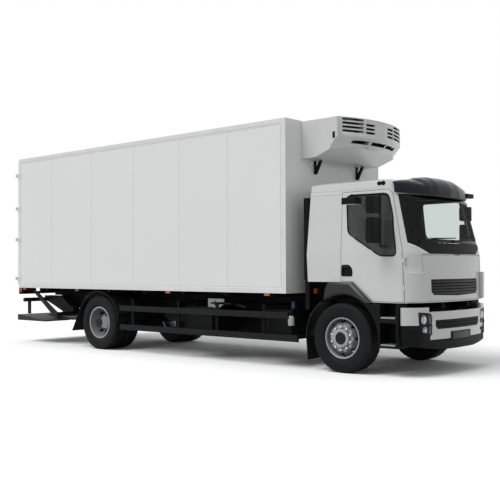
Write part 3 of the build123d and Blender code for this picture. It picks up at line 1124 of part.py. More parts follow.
# Bumper with its valance, lower intake, lamps and plate carrier
BUMPER_TOP_Z = 905.0
BUMPER_HORN_Z = 972.0
BUMPER_HORN_Y = 800.0
BUMPER_LOW_Z = 515.0
BUMPER_SIDE_Z = 724.0
BUMPER_SKIN = 45.0
BUMPER_REAR_X = 962.0
Plan = namedtuple("Plan", "nose shoulder_x shoulder_y side_x half")
BUMPER_PLAN = Plan(1270.0, 1187.0, 850.0, 1000.0, 1180.0)
END_Y = 780.0
FrontPoint = namedtuple("FrontPoint", "y z")
VALANCE_INSET = 12.0
VALANCE_OUTLINE = (FrontPoint(1240.0, 515.0), FrontPoint(1240.0, 436.0), FrontPoint(1000.0, 425.0),
                   FrontPoint(700.0, 385.0),
                   FrontPoint(450.0, 365.0))
INTAKE_OUTLINE = (FrontPoint(660.0, 787.0), FrontPoint(660.0, 705.0), FrontPoint(610.0, 658.0))
INTAKE_BARS = 3
INTAKE_BAR = 14.0
LAMP_OUTLINE = (FrontPoint(735.0, 575.0), FrontPoint(940.0, 625.0), FrontPoint(1000.0, 720.0),
                FrontPoint(1012.0, 905.0),
                FrontPoint(755.0, 880.0))
PLATE = Slab(1245.0, FRONT_END, -295.0, 295.0, 490.0, 612.0)


def bumper_column(inset):
    """The bumper's plan as a column, drawn in by an inset."""
    low, high = VALANCE_OUTLINE[-1].z - OVERRUN, BUMPER_HORN_Z + OVERRUN
    nose, shoulder_x, half = BUMPER_PLAN.nose - inset, BUMPER_PLAN.shoulder_x - inset, BUMPER_PLAN.half - inset
    shoulder_y, side_x = BUMPER_PLAN.shoulder_y - inset * SHOULDER_INSET_SHARE, BUMPER_PLAN.side_x - inset * SHOULDER_INSET_SHARE
    corner_x, corner_y = side_x + CORNER_X_SHARE * (shoulder_x - side_x), half - CORNER_Y_SHARE * (half - shoulder_y)
    back = BUMPER_REAR_X - 2 * OVERRUN
    face = make_face([
        Line((back, -half, low), (side_x, -half, low)),
        ThreePointArc((side_x, -half, low), (corner_x, -corner_y, low), (shoulder_x, -shoulder_y, low)),
        ThreePointArc((shoulder_x, -shoulder_y, low), (nose, 0, low), (shoulder_x, shoulder_y, low)),
        ThreePointArc((shoulder_x, shoulder_y, low), (corner_x, corner_y, low), (side_x, half, low)),
        Line((side_x, half, low), (back, half, low)),
        Line((back, half, low), (back, -half, low)),
    ])
    return extrude(face, amount=high - low, dir=(0, 0, 1))


def both_ways(points):
    """A symmetrical outline from its half on the left."""
    return [(p.y, p.z) for p in points] + [(-p.y, p.z) for p in reversed(points)]


bumper_outer, bumper_inner = bumper_column(0), bumper_column(BUMPER_SKIN)
bumper_shell = bumper_outer - bumper_inner
intake_tool = front_prism(both_ways(INTAKE_OUTLINE), RAIL_FRONT_X, FRONT_END + OVERRUN)
plate_carrier = block(*PLATE)
lamp_tools = [front_prism([(side * p.y, p.z) for p in LAMP_OUTLINE], RAIL_FRONT_X,
                          FRONT_END + OVERRUN) for side in (1, -1)]
end_tools = [block(BUMPER_REAR_X, FRONT_END + OVERRUN, side * END_Y, side * BODY_HALF, BUMPER_LOW_Z,
                   BUMPER_SIDE_Z)
             for side in (1, -1)]
bumper = bumper_shell & block(BUMPER_REAR_X, FRONT_END + OVERRUN, -BODY_HALF, BODY_HALF, BUMPER_LOW_Z,
                              BUMPER_TOP_Z)
for side in (1, -1):
    bumper += bumper_shell & block(BUMPER_REAR_X, FRONT_END + OVERRUN, side * BUMPER_HORN_Y, side * BODY_HALF,
                                   BUMPER_TOP_Z, BUMPER_HORN_Z)
bumper = bumper - intake_tool - plate_carrier
for tool in lamp_tools + end_tools:
    bumper -= tool
mount = Slab(RAIL_FRONT_X, FRONT_END, RAIL_OUT - RAIL_FLANGE, RAIL_OUT, INTAKE_OUTLINE[0].z,
             BUMPER_TOP_Z - RAIL_WEB)
for side in (1, -1):
    bumper += block(mount.x0, mount.x1, side * mount.y0, side * mount.y1, mount.z0, mount.z1) & bumper_inner
save("front_bumper", bumper)
lamp_shell = bumper_column(RIM_WALL) - bumper_inner
save("headlamps", *[lamp_shell & tool for tool in lamp_tools])
valance = (bumper_column(VALANCE_INSET) - bumper_inner) & front_prism(both_ways(VALANCE_OUTLINE),
                                                            BUMPER_REAR_X, FRONT_END)
valance = valance - plate_carrier + plate_carrier
for tool in end_tools:
    valance += (bumper_shell & tool) - lamp_tools[0] - lamp_tools[1]
intake = (bumper_column(BUMPER_SKIN - INTAKE_BAR) - bumper_inner) & intake_tool
intake_band = bumper_column(RIM_WALL) - bumper_column(BUMPER_SKIN - INTAKE_BAR)
intake_low, intake_high = INTAKE_OUTLINE[-1].z, INTAKE_OUTLINE[0].z
for n in range(INTAKE_BARS):
    z = intake_low + (n + 0.5) * (intake_high - intake_low) / INTAKE_BARS
    intake += intake_band & intake_tool & block(RAIL_FRONT_X, FRONT_END, -BODY_HALF, BODY_HALF,
                                                z - INTAKE_BAR, z + INTAKE_BAR)
save("bumper_lower_trim", valance, intake)

# Entry steps between the front wheel and the bumper
STEP_BODY = Slab(375.0, 950.0, 960.0, 1232.0, 405.0, 1015.0)
STEP_TREADS = (455.0, 835.0)
STEP_OPENING = 300.0
STEP_SKIN = 30.0
STEP_INNER_X = 660.0
STEP_STAY_Z = 895.0
ARCH_RADIUS = 630.0
steer_swing = math.hypot(TYRE_RADIUS, FRONT_WHEEL_Y + TYRE_WIDTH / 2 - KINGPIN_Y)
step_boxes = []
for side in (1, -1):
    box = block(STEP_BODY.x0, STEP_BODY.x1, side * STEP_BODY.y0, side * STEP_BODY.y1, STEP_BODY.z0,
                STEP_BODY.z1)
    for z in STEP_TREADS:
        box -= block(STEP_INNER_X, STEP_BODY.x1 - STEP_SKIN, side * (STEP_BODY.y0 + STEP_SKIN),
                     side * (STEP_BODY.y1 + OVERRUN),
                     z, min(z + STEP_OPENING, STEP_BODY.z1 + OVERRUN))
    box -= bar_y(0, TYRE_RADIUS, ARCH_RADIUS, side * (STEP_BODY.y0 - OVERRUN),
                 side * (STEP_BODY.y1 + OVERRUN))
    box += block(STEP_INNER_X, STEP_BODY.x1, side * RAIL_OUT, side * (STEP_BODY.y0 + STEP_SKIN),
                 STEP_STAY_Z, RAIL_TOP_Z)
    box -= Pos(0, side * KINGPIN_Y, TYRE_RADIUS) * Sphere(steer_swing + 2 * CLEAR)
    step_boxes.append(max(box.solids(), key=lambda s: s.volume))
save("entry_steps", *step_boxes)

# Corner deflectors and wheel arch flares of the cab
DEFLECTOR = Slab(1026.0, FRONT_END, LID_LOW_HALF, 1240.0, 1052.0, 1460.0)
DEFLECTOR_THICK = 42.0
DEFLECTOR_LEAN = 24.0
deflector_plan = cab_section(CAB_SECTIONS[0]._replace(z=DEFLECTOR.z0), -DEFLECTOR_THICK)
deflector_shell = extrude(deflector_plan, amount=DEFLECTOR.z1 - DEFLECTOR.z0, dir=(0, 0, 1)) - outer_cab
deflectors = []
for side in (1, -1):
    outline = [(side * (DEFLECTOR.y0 + 2 * CLEAR), DEFLECTOR.z0),
               (side * (DEFLECTOR.y0 + 2 * CLEAR + DEFLECTOR_LEAN), DEFLECTOR.z1),
               (side * DEFLECTOR.y1, DEFLECTOR.z1), (side * DEFLECTOR.y1, DEFLECTOR.z0)]
    piece = deflector_shell & front_prism(outline, DEFLECTOR.x0, DEFLECTOR.x1)
    deflectors.append(max(piece.solids(), key=lambda s: s.volume))
save("corner_deflectors", *deflectors)
FLARE_IN = 1050.0
FLARE_OUT = 1245.0
FLARE_ROUND = 32.0
FLARE_FOOT = 9.0
FLARE_REAR = (DoorPoint(-235.0, 1322.0), DoorPoint(-310.0, 1210.0), DoorPoint(-330.0, 1040.0))
flare_points = [CAB_UNDERSIDE[2]] + list(FLARE_REAR) + [CAB_UNDERSIDE[1]._replace(z=CAB_UNDERSIDE[1].z - FLARE_FOOT), CAB_UNDERSIDE[1]]
flares = []
for side in (1, -1):
    flare = side_prism([(p.x, p.z) for p in flare_points], min(side * FLARE_IN, side * FLARE_OUT),
                       max(side * FLARE_IN, side * FLARE_OUT))
    flare -= bar_y(0, TYRE_RADIUS, ARCH_RADIUS, side * (FLARE_IN - OVERRUN), side * (FLARE_OUT + OVERRUN))
    flare = max(flare.solids(), key=lambda s: s.volume)
    rim_edges = [e for e in flare.edges() if abs(abs(e.center().Y) - FLARE_OUT) < RUNNING_GAP and e.center().Z > DEFLECTOR.z0]
    flares.append(chamfer(rim_edges, FLARE_ROUND))
save("cab_black_trim", *flares, cab_cowl)

# Air intake behind the cab
STACK = Slab(-805.0, -697.0, -1080.0, -830.0, 1350.0, 2600.0)
STACK_FOOT = Slab(-790.0, -712.0, -1050.0, -425.0, 895.0, 960.0)
stack = fillet(block(*STACK).edges().filter_by(Axis.Z), STEP_SKIN)
stack += block(STACK_FOOT.x0, STACK_FOOT.x1, STACK.y0 + STEP_SKIN, STACK.y1 - STEP_SKIN, STACK_FOOT.z0,
               STACK.z0 + STEP_SKIN)
stack += block(*STACK_FOOT)
save("air_intake", stack)

# Tail lift under the rear end
LIFT_PIVOT_IN = 945.0
LIFT_PIVOT_X = BODY_REAR_X + LIFT_PIVOT_IN
LIFT_PIVOT_Z = 640.0
LIFT_ARM_LENGTH = 830.0
LIFT_ARM_FALL = 9.0
LIFT_ARM_Y = 560.0
LIFT_ARM_HALF = 40.0
LIFT_ARM_DEPTH = 42.0
LIFT_PIN_RADIUS = 24.0
LIFT_TIE_SHARE = 0.45
BRACKET_HALF = 14.0
BRACKET_SIDE_GAP = 6.0
PLATFORM_IN = 805.0
PLATFORM_INSET = 100.0
PLATFORM = Slab(REAR_END, BODY_REAR_X + PLATFORM_IN, -BODY_HALF + PLATFORM_INSET,
                BODY_HALF - PLATFORM_INSET, 450.0, 570.0)
PLATFORM_NOSE = 25.0
UNDERRUN_IN = 25.0
UNDERRUN_X = BODY_REAR_X + UNDERRUN_IN
UNDERRUN_Z = 880.0
UNDERRUN_RADIUS = 42.0
UNDERRUN_HALF = BODY_HALF - 2 * LAMP_BAR_INSET
UNDERRUN_POST_Y = 1080.0
UNDERRUN_POST_IN = 90.0
UNDERRUN_POST_LOW = 590.0
BracketPoint = namedtuple("BracketPoint", "inward z")
BRACKET = (BracketPoint(585.0, 960.0), BracketPoint(-25.0, 960.0), BracketPoint(-25.0, 880.0),
           BracketPoint(785.0, 575.0),
           BracketPoint(1005.0, 575.0), BracketPoint(1015.0, 720.0), BracketPoint(875.0, 760.0))
BRACKET_STAY_IN = 505.0
BRACKET_STAY_X = BODY_REAR_X + BRACKET_STAY_IN
SIDE_PLATE_Y = 1090.0
SIDE_PLATE = (BracketPoint(215.0, 1075.0), BracketPoint(335.0, 1075.0), BracketPoint(1085.0, 640.0),
              BracketPoint(1085.0, 545.0),
              BracketPoint(985.0, 545.0))
CROSS_TUBE_RADIUS = 45.0
CROSS_TUBE_IN = 1035.0
CROSS_TUBE_Z = 600.0
arm_end_x = LIFT_PIVOT_X - LIFT_ARM_LENGTH * math.cos(math.radians(LIFT_ARM_FALL))
arm_end_z = LIFT_PIVOT_Z - LIFT_ARM_LENGTH * math.sin(math.radians(LIFT_ARM_FALL))
lift_frame = [bar_y(UNDERRUN_X, UNDERRUN_Z, UNDERRUN_RADIUS, -UNDERRUN_HALF, UNDERRUN_HALF),
              bar_y(BODY_REAR_X + CROSS_TUBE_IN, CROSS_TUBE_Z, CROSS_TUBE_RADIUS, -SIDE_PLATE_Y,
                    SIDE_PLATE_Y)]
for side in (1, -1):
    for step in (1, -1):
        y = side * LIFT_ARM_Y + step * (LIFT_ARM_HALF + BRACKET_SIDE_GAP + BRACKET_HALF)
        lift_frame.append(side_prism([(BODY_REAR_X + p.inward, p.z) for p in BRACKET], y - BRACKET_HALF,
                                     y + BRACKET_HALF))
    y = side * SIDE_PLATE_Y
    lift_frame.append(side_prism([(BODY_REAR_X + p.inward, p.z) for p in SIDE_PLATE], y - BRACKET_HALF,
                                 y + BRACKET_HALF))
    y = side * UNDERRUN_POST_Y
    lift_frame.append(block(UNDERRUN_X, UNDERRUN_X + UNDERRUN_POST_IN, y - BRACKET_HALF, y + BRACKET_HALF,
                            UNDERRUN_POST_LOW, UNDERRUN_Z))
    y = side * LIFT_ARM_Y
    lift_frame.append(block(BRACKET_STAY_X - OVERRUN, BRACKET_STAY_X, side * RAIL_OUT,
                            side * (LIFT_ARM_Y + LIFT_ARM_HALF + BRACKET_SIDE_GAP + 2 * BRACKET_HALF),
                            RAIL_TOP_Z - RAIL_FLANGE, RAIL_TOP_Z - RAIL_WEB))
    lift_frame.append(bar_y(LIFT_PIVOT_X, LIFT_PIVOT_Z, LIFT_PIN_RADIUS - RUNNING_GAP,
                            y - LIFT_ARM_HALF - 2 * BRACKET_HALF, y + LIFT_ARM_HALF + 2 * BRACKET_HALF))
save("lift_frame", lift_frame[0].fuse(*lift_frame[1:]))
arms = None
for side in (1, -1):
    y = side * LIFT_ARM_Y
    slope = (arm_end_x - LIFT_PIVOT_X) / LIFT_ARM_LENGTH, (arm_end_z - LIFT_PIVOT_Z) / LIFT_ARM_LENGTH
    across_x, across_z = -slope[1] * LIFT_ARM_DEPTH, slope[0] * LIFT_ARM_DEPTH
    outline = [(LIFT_PIVOT_X + across_x, LIFT_PIVOT_Z + across_z),
               (arm_end_x + across_x, arm_end_z + across_z),
               (arm_end_x - across_x, arm_end_z - across_z), (LIFT_PIVOT_X - across_x,
                                                            LIFT_PIVOT_Z - across_z)]
    arm = side_prism(outline, y - LIFT_ARM_HALF, y + LIFT_ARM_HALF)
    arm += bar_y(LIFT_PIVOT_X, LIFT_PIVOT_Z, LIFT_ARM_DEPTH, y - LIFT_ARM_HALF, y + LIFT_ARM_HALF)
    arm += bar_y(arm_end_x, arm_end_z, LIFT_ARM_DEPTH, y - LIFT_ARM_HALF, y + LIFT_ARM_HALF)
    arm -= bar_y(LIFT_PIVOT_X, LIFT_PIVOT_Z, LIFT_PIN_RADIUS, y - LIFT_ARM_HALF - OVERRUN,
                 y + LIFT_ARM_HALF + OVERRUN)
    arm -= bar_y(arm_end_x, arm_end_z, LIFT_PIN_RADIUS, y - LIFT_ARM_HALF - OVERRUN,
                 y + LIFT_ARM_HALF + OVERRUN)
    arms = arm if arms is None else arms + arm
tie_x = LIFT_PIVOT_X + LIFT_TIE_SHARE * (arm_end_x - LIFT_PIVOT_X)
tie_z = LIFT_PIVOT_Z + LIFT_TIE_SHARE * (arm_end_z - LIFT_PIVOT_Z)
arms += bar_y(tie_x, tie_z, LIFT_ARM_DEPTH / 2, -LIFT_ARM_Y, LIFT_ARM_Y)
save("lift_arms", arms)
platform_outline = [(PLATFORM.x0, PLATFORM.z1), (PLATFORM.x0, PLATFORM.z0), (PLATFORM.x1, PLATFORM.z0),
                    (PLATFORM.x1, PLATFORM.z0 + PLATFORM_NOSE)]
platform = side_prism(platform_outline, PLATFORM.y0, PLATFORM.y1)
for side in (1, -1):
    y = side * LIFT_ARM_Y
    platform -= block(arm_end_x - 2 * LIFT_ARM_DEPTH, PLATFORM.x1 + OVERRUN,
                      y - LIFT_ARM_HALF - BRACKET_SIDE_GAP, y + LIFT_ARM_HALF + BRACKET_SIDE_GAP,
                      PLATFORM.z0 - OVERRUN, PLATFORM.z1 + OVERRUN)
    for step in (1, -1):
        ly = y + step * (LIFT_ARM_HALF + BRACKET_SIDE_GAP + BRACKET_HALF)
        lug = bar_y(arm_end_x, arm_end_z, LIFT_ARM_DEPTH, ly - BRACKET_HALF, ly + BRACKET_HALF)
        lug += block(arm_end_x - LIFT_ARM_DEPTH, arm_end_x + LIFT_ARM_DEPTH, ly - BRACKET_HALF,
                     ly + BRACKET_HALF, PLATFORM.z0 + PLATFORM_NOSE, arm_end_z)
        platform += lug
    platform += bar_y(arm_end_x, arm_end_z, LIFT_PIN_RADIUS - RUNNING_GAP,
                      y - LIFT_ARM_HALF - 2 * BRACKET_HALF, y + LIFT_ARM_HALF + 2 * BRACKET_HALF)
save("lift_platform", platform)
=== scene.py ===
"""A refrigerated box truck seen from its front right corner: surfaces, small detail, camera and studio.

Metres, in the CAD part's own frame: origin on the ground at mid length, +X forward, +Y to the left, +Z up."""

import json
import math
import random

import bmesh
import bpy
from mathutils import Matrix, Vector
from mathutils.bvhtree import BVHTree

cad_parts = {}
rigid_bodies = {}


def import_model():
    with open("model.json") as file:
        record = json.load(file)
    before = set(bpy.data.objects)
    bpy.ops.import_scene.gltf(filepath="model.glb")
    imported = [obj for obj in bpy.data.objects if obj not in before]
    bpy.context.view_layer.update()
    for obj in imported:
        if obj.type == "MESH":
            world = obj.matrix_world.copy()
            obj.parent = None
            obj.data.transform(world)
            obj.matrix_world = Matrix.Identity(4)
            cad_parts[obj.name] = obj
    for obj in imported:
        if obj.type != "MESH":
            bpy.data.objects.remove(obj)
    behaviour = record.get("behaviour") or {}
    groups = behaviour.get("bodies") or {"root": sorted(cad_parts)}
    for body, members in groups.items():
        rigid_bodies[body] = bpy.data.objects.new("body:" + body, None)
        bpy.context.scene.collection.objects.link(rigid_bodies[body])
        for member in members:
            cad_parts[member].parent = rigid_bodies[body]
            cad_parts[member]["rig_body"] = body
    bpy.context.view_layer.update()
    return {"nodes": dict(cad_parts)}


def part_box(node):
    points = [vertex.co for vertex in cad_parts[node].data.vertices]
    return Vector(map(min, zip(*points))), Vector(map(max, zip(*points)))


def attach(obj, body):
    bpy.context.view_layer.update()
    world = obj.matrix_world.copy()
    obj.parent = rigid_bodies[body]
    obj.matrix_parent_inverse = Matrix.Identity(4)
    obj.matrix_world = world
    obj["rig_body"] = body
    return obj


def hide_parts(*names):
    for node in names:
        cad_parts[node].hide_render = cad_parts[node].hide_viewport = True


bpy.ops.wm.read_factory_settings(use_empty=True)
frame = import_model()
nodes = frame["nodes"]
random.seed(7)

# Places worked out from the CAD part
front_low, front_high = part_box("tyre_front_left")
rear_low, rear_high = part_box("tyres_rear_left")
WHEEL_Z = (front_low.z + front_high.z) / 2
FRONT_X = (front_low.x + front_high.x) / 2
REAR_X = (rear_low.x + rear_high.x) / 2
TWIN_HALF = 0.135


# Surfaces
def node_tree(name):
    """A new material with its nodes, its shader and a mapping in object space."""
    material = bpy.data.materials.new(name)
    material.use_nodes = True
    tree = material.node_tree
    shader = tree.nodes["Principled BSDF"]
    place = tree.nodes.new("ShaderNodeTexCoord")
    return material, tree, shader, place.outputs["Object"]


def put(node, values):
    """Sets inputs of a node."""
    for key, value in values.items():
        node.inputs[key].default_value = value


def added(tree, kind, values):
    """A new node with its inputs set."""
    node = tree.nodes.new("ShaderNode" + kind)
    put(node, values)
    return node


NOISE_DETAIL, NOISE_ROUGH = 4.0, 0.55


def noise(tree, place, scale):
    """A noise texture on the object's own coordinates."""
    texture = added(tree, "TexNoise", {"Scale": scale, "Detail": NOISE_DETAIL, "Roughness": NOISE_ROUGH})
    tree.links.new(place, texture.inputs["Vector"])
    return texture.outputs["Fac"]


def blended(tree, factor, a, b):
    """A colour between two."""
    mix = tree.nodes.new("ShaderNodeMix")
    mix.data_type = "RGBA"
    put(mix, {6: (*a, 1), 7: (*b, 1)})
    tree.links.new(factor, mix.inputs[0])
    return mix.outputs[2]


def shaded(colour, share):
    """A colour made darker or lighter by a share."""
    return tuple(min(1.0, c * share) for c in colour)


PATCH_LOW, PATCH_HIGH = 0.35, 0.7
COAT_ROUGH = 0.06
GRAIN_STRENGTH = 0.5


def surface(name, colour, rough=0.5, metal=0.0, grain=60.0, depth=0.0004, stain=0.85, coat=0.0,
            patch=3.0, gloss=0.5):
    """A plain surface with a fine grain, slight patches of tone and an optional clear coat."""
    material, tree, shader, place = node_tree(name)
    tone = added(tree, "MapRange", {"From Min": PATCH_LOW, "From Max": PATCH_HIGH})
    tree.links.new(noise(tree, place, patch), tone.inputs["Value"])
    patched = blended(tree, tone.outputs["Result"], shaded(colour, stain), colour)
    tree.links.new(patched, shader.inputs["Base Color"])
    put(shader, {"Roughness": rough, "Metallic": metal, "Specular IOR Level": gloss,
                 "Coat Weight": coat, "Coat Roughness": COAT_ROUGH})
    if depth:
        bump = added(tree, "Bump", {"Strength": GRAIN_STRENGTH, "Distance": depth})
        tree.links.new(noise(tree, place, grain), bump.inputs["Height"])
        tree.links.new(bump.outputs["Normal"], shader.inputs["Normal"])
    return material


GLASS_BODY = 0.06
GLASS_GLOSS = 0.6


def glass(name, tint, clear=0.55, rough=0.02, body=GLASS_BODY):
    """Tinted glazing: part of the light goes straight through, the rest is a glossy skin."""
    material, tree, shader, _ = node_tree(name)
    skin_colour = (*shaded(tint, body), 1)
    put(shader, {"Base Color": skin_colour, "Roughness": rough, "Specular IOR Level": GLASS_GLOSS})
    through = added(tree, "BsdfTransparent", {"Color": (*tint, 1)})
    mix = added(tree, "MixShader", {"Fac": clear})
    tree.links.new(shader.outputs["BSDF"], mix.inputs[1])
    tree.links.new(through.outputs["BSDF"], mix.inputs[2])
    tree.links.new(mix.outputs["Shader"], tree.nodes["Material Output"].inputs["Surface"])
    return material


MATERIALS = {
    "body": surface("body_skin", (0.82, 0.825, 0.82), 0.32, grain=9.0, depth=0.0006, stain=0.985,
            coat=0.15, patch=0.7),
    "roof": surface("roof_skin", (0.72, 0.73, 0.74), 0.4, grain=9.0, depth=0.0006, stain=0.95),
    "cab": surface("cab_paint", (0.655, 0.66, 0.655), 0.28, grain=14.0, depth=0.0002, stain=0.98,
            coat=0.4, patch=1.2),
    "unit": surface("unit_plastic", (0.66, 0.67, 0.67), 0.3, grain=40.0, depth=0.0002, stain=0.97, coat=0.2),
    "alu": surface("aluminium_trim", (0.74, 0.745, 0.745), 0.42, metal=0.25, grain=120.0,
            depth=0.0002, stain=0.93),
    "guard": surface("guard_rail", (0.016, 0.0175, 0.019), grain=80.0, stain=0.8, gloss=0.08),
    "chassis": surface("chassis_paint", (0.006, 0.0062, 0.0066), 0.6, grain=70.0, depth=0.0008,
            stain=0.7, gloss=0.07),
    "iron": surface("cast_iron", (0.007, 0.007, 0.007), 0.7, grain=90.0, depth=0.001, stain=0.75, gloss=0.08),
    "black": surface("black_plastic", (0.0075, 0.008, 0.0085), grain=260.0, gloss=0.08),
    "flare": surface("flare_plastic", (0.013, 0.014, 0.0155), 0.3, grain=260.0, gloss=0.35),
    "rubber": surface("flap_rubber", (0.011, 0.0115, 0.012), 0.6, grain=120.0, depth=0.0006,
            stain=0.8, gloss=0.12),
    "tyre": surface("tyre_rubber", (0.010, 0.0105, 0.0115), 0.6, grain=160.0, depth=0.0006,
            stain=0.75, patch=9.0, gloss=0.12),
    "rim": surface("rim_silver", (0.37, 0.385, 0.40), 0.4, metal=0.3, grain=150.0, depth=0.0003),
    # Painted shade: a darker copy of the rim silver, for a band of each rim's dish
    "rim_painted_shade": surface("rim_in_shade", (0.085, 0.092, 0.10), 0.45, metal=0.2, grain=150.0,
            depth=0.0003, stain=0.8),
    "hub": surface("hub_black", (0.008, 0.0085, 0.009), 0.45, grain=90.0, stain=0.8, gloss=0.2),
    "visor": surface("visor_tint", (0.010, 0.013, 0.022), 0.22, grain=20.0, depth=0.0001, coat=0.05,
            gloss=0.12),
    "seat": surface("seat_cloth", (0.03, 0.034, 0.042), 0.9, grain=400.0, depth=0.0012, stain=0.8,
            patch=20.0, gloss=0.1),
    "inside": surface("cab_lining", (0.028, 0.034, 0.035), 0.8, grain=200.0, depth=0.0005, stain=0.9,
            gloss=0.1),
    "floor": surface("load_floor", (0.5, 0.51, 0.52), 0.45, metal=0.7, grain=30.0),
    "lift": surface("lift_paint", (0.010, 0.0105, 0.011), depth=0.0008, stain=0.75, gloss=0.15),
    "lift_alu": surface("lift_deck", (0.022, 0.023, 0.024), depth=0.0006, stain=0.8, gloss=0.2),
    "tank": surface("tank_aluminium", (0.20, 0.205, 0.21), 0.4, metal=0.6),
    "bright": surface("bright_metal", (0.85, 0.86, 0.87), 0.25, metal=0.85, grain=90.0, depth=0.0001,
            stain=0.95),
    "red": surface("red_lens", (0.20, 0.012, 0.008), 0.15, grain=90.0, depth=0.0006, coat=0.6, stain=0.93),
    "orange": surface("orange_lens", (0.70, 0.17, 0.02), 0.18, grain=90.0, depth=0.0006, coat=0.6,
            stain=0.93),
    "screen": glass("windscreen_glass", (0.965, 0.98, 0.975), clear=0.96, body=0.2),
    "pane": glass("door_glass", (0.94, 0.975, 0.963), clear=0.87, body=0.34),
    "lens": glass("lamp_lens", (0.93, 0.95, 0.96), clear=0.8),
    "lens_plain": surface("clear_lens", (0.72, 0.74, 0.76), 0.12, grain=90.0, coat=0.6, stain=0.93),
    "grille": surface("grille_plastic", (0.011, 0.011, 0.0115), 0.4, grain=200.0, depth=0.0003,
            stain=0.8, gloss=0.18),
    "frit": surface("screen_band", (0.006, 0.0065, 0.0075), 0.15, depth=0.0, stain=0.9, gloss=0.12),
    "joint": surface("panel_joint", (0.56, 0.565, 0.565), depth=0.0, stain=0.9),
    "mirror": surface("mirror_plate", (0.8, 0.82, 0.83), 0.03, metal=1.0, grain=10.0, depth=0.0, stain=0.98),
    "plate": surface("blank_plate", (0.01, 0.0105, 0.011), 0.35, grain=80.0, depth=0.0001, stain=0.9,
            gloss=0.3),
    "plate_grey": surface("bracket_zinc", (0.36, 0.38, 0.37), 0.4, metal=0.3, depth=0.0003),
    "tread": surface("step_tread", (0.34, 0.35, 0.36), 0.35, metal=0.4, stain=0.8),
    "blue": surface("blue_cap", (0.02, 0.09, 0.24), 0.35, grain=90.0, depth=0.0002),
}
LOOKS = {
    "body": ("body_sides", "body_front_wall", "rear_door_left", "rear_door_right"),
    "roof": ("body_roof",),
    "alu": ("body_trims", "rear_frame"),
    "cab": ("cab_roof", "cab_back", "cab_front", "cab_sides", "cab_door_left", "cab_door_right",
            "front_lid", "corner_deflectors", "front_bumper"),
    "inside": ("cab_floor", "dashboard"),
    "seat": ("seats",),
    "unit": ("cooling_unit_housing", "cooling_unit_cover"),
    "chassis": ("chassis_frame", "leaf_springs", "subframe", "cooling_unit_struts"),
    "iron": ("axles", "engine_block", "knuckle_left", "knuckle_right"),
    "guard": ("side_guards",),
    "black": ("air_intake", "bumper_lower_trim", "entry_steps", "side_boxes", "mirrors_left",
            "mirrors_right"),
    "grille": ("front_grille",),
    "flare": ("cab_black_trim", "mudguards"),
    "rubber": ("mudflaps",),
    "tyre": ("tyre_front_left", "tyre_front_right", "tyres_rear_left", "tyres_rear_right"),
    "rim": ("rim_front_left", "rim_front_right", "rims_rear_left", "rims_rear_right"),
    "visor": ("sun_visor",),
    "floor": ("body_floor",),
    "tank": ("fuel_tank",),
    "lift": ("lift_frame", "lift_arms"),
    "lift_alu": ("lift_platform",),
    "screen": ("windscreen",),
    "pane": ("cab_door_glass_left", "cab_door_glass_right"),
    "lens": ("headlamps",),
    "red": ("rear_lamps",),
}


def dress(obj, look):
    """Gives an object one of the materials."""
    obj.data.materials.clear()
    obj.data.materials.append(MATERIALS[look])


for look, names in LOOKS.items():
    for name in names:
        dress(nodes[name], look)

# Building helpers. Tables of boxes hold two corners and a chamfer, with X from the front axle and Y outward
AXLE = FRONT_X
SIDES = ((1, "left"), (-1, "right"))


def at(x, y, z):
    """A place whose X is counted from the front axle."""
    return AXLE + x, y, z


def linked(name, data):
    """A new object, put into the scene."""
    obj = bpy.data.objects.new(name, data)
    bpy.context.scene.collection.objects.link(obj)
    return obj


def new_piece(name, look, bm, body="chassis", smooth=30.0):
    """A mesh piece with its material, its edges kept sharp above an angle, riding on a body."""
    mesh = bpy.data.meshes.new(name)
    bmesh.ops.recalc_face_normals(bm, faces=bm.faces)
    bm.to_mesh(mesh)
    bm.free()
    mesh.materials.append(MATERIALS[look])
    mesh.shade_smooth()
    mesh.set_sharp_from_angle(angle=math.radians(smooth))
    obj = linked(name, mesh)
    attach(obj, body)
    return obj


def add_prism(bm, points, low, high):
    """An outline of X and Z drawn out along Y."""
    first, last = ([bm.verts.new((x, y, z)) for x, z in points] for y in (low, high))
    bm.faces.new(first)
    bm.faces.new(last[::-1])
    for k in range(len(points)):
        bm.faces.new((first[k], last[k], last[k - 1], first[k - 1]))


def add_box(bm, low, high, edge=0.0):
    """A box between two corners, its edges rounded by a small chamfer."""
    low, high = Vector(low), Vector(high)
    made = bmesh.ops.create_cube(bm, size=1.0)["verts"]
    for v in made:
        v.co = Vector([(low[k] + high[k]) / 2 + v.co[k] * abs(high[k] - low[k]) for k in range(3)])
    if edge:
        edges = {e for v in made for e in v.link_edges}
        bmesh.ops.bevel(bm, geom=list(edges), offset=edge, segments=2, affect="EDGES", profile=0.7)


def add_boxes(bm, rows, side=1, y=0.0, x=0.0, z=0.0):
    """Boxes from a table of two corners and a chamfer, moved to a place, with Y counted outward."""
    for (x0, y0, z0), (x1, y1, z1), edge in rows:
        add_box(bm, at(x + x0, y + side * y0, z + z0), at(x + x1, y + side * y1, z + z1), edge)


def add_rod(bm, start, end, radius, sides=12, end_radius=None):
    """A round bar between two points."""
    start, end = Vector(start), Vector(end)
    run = end - start
    far = radius if end_radius is None else end_radius
    made = bmesh.ops.create_cone(bm, cap_ends=True, segments=sides, radius1=radius, radius2=far,
                                 depth=run.length)["verts"]
    turn = run.to_track_quat("Z", "Y").to_matrix().to_4x4()
    bmesh.ops.transform(bm, matrix=Matrix.Translation((start + end) / 2) @ turn, verts=made)


# A way that no tube runs along, to turn its rings from
TUBE_UP = Vector((0.13, 0.29, 0.95))


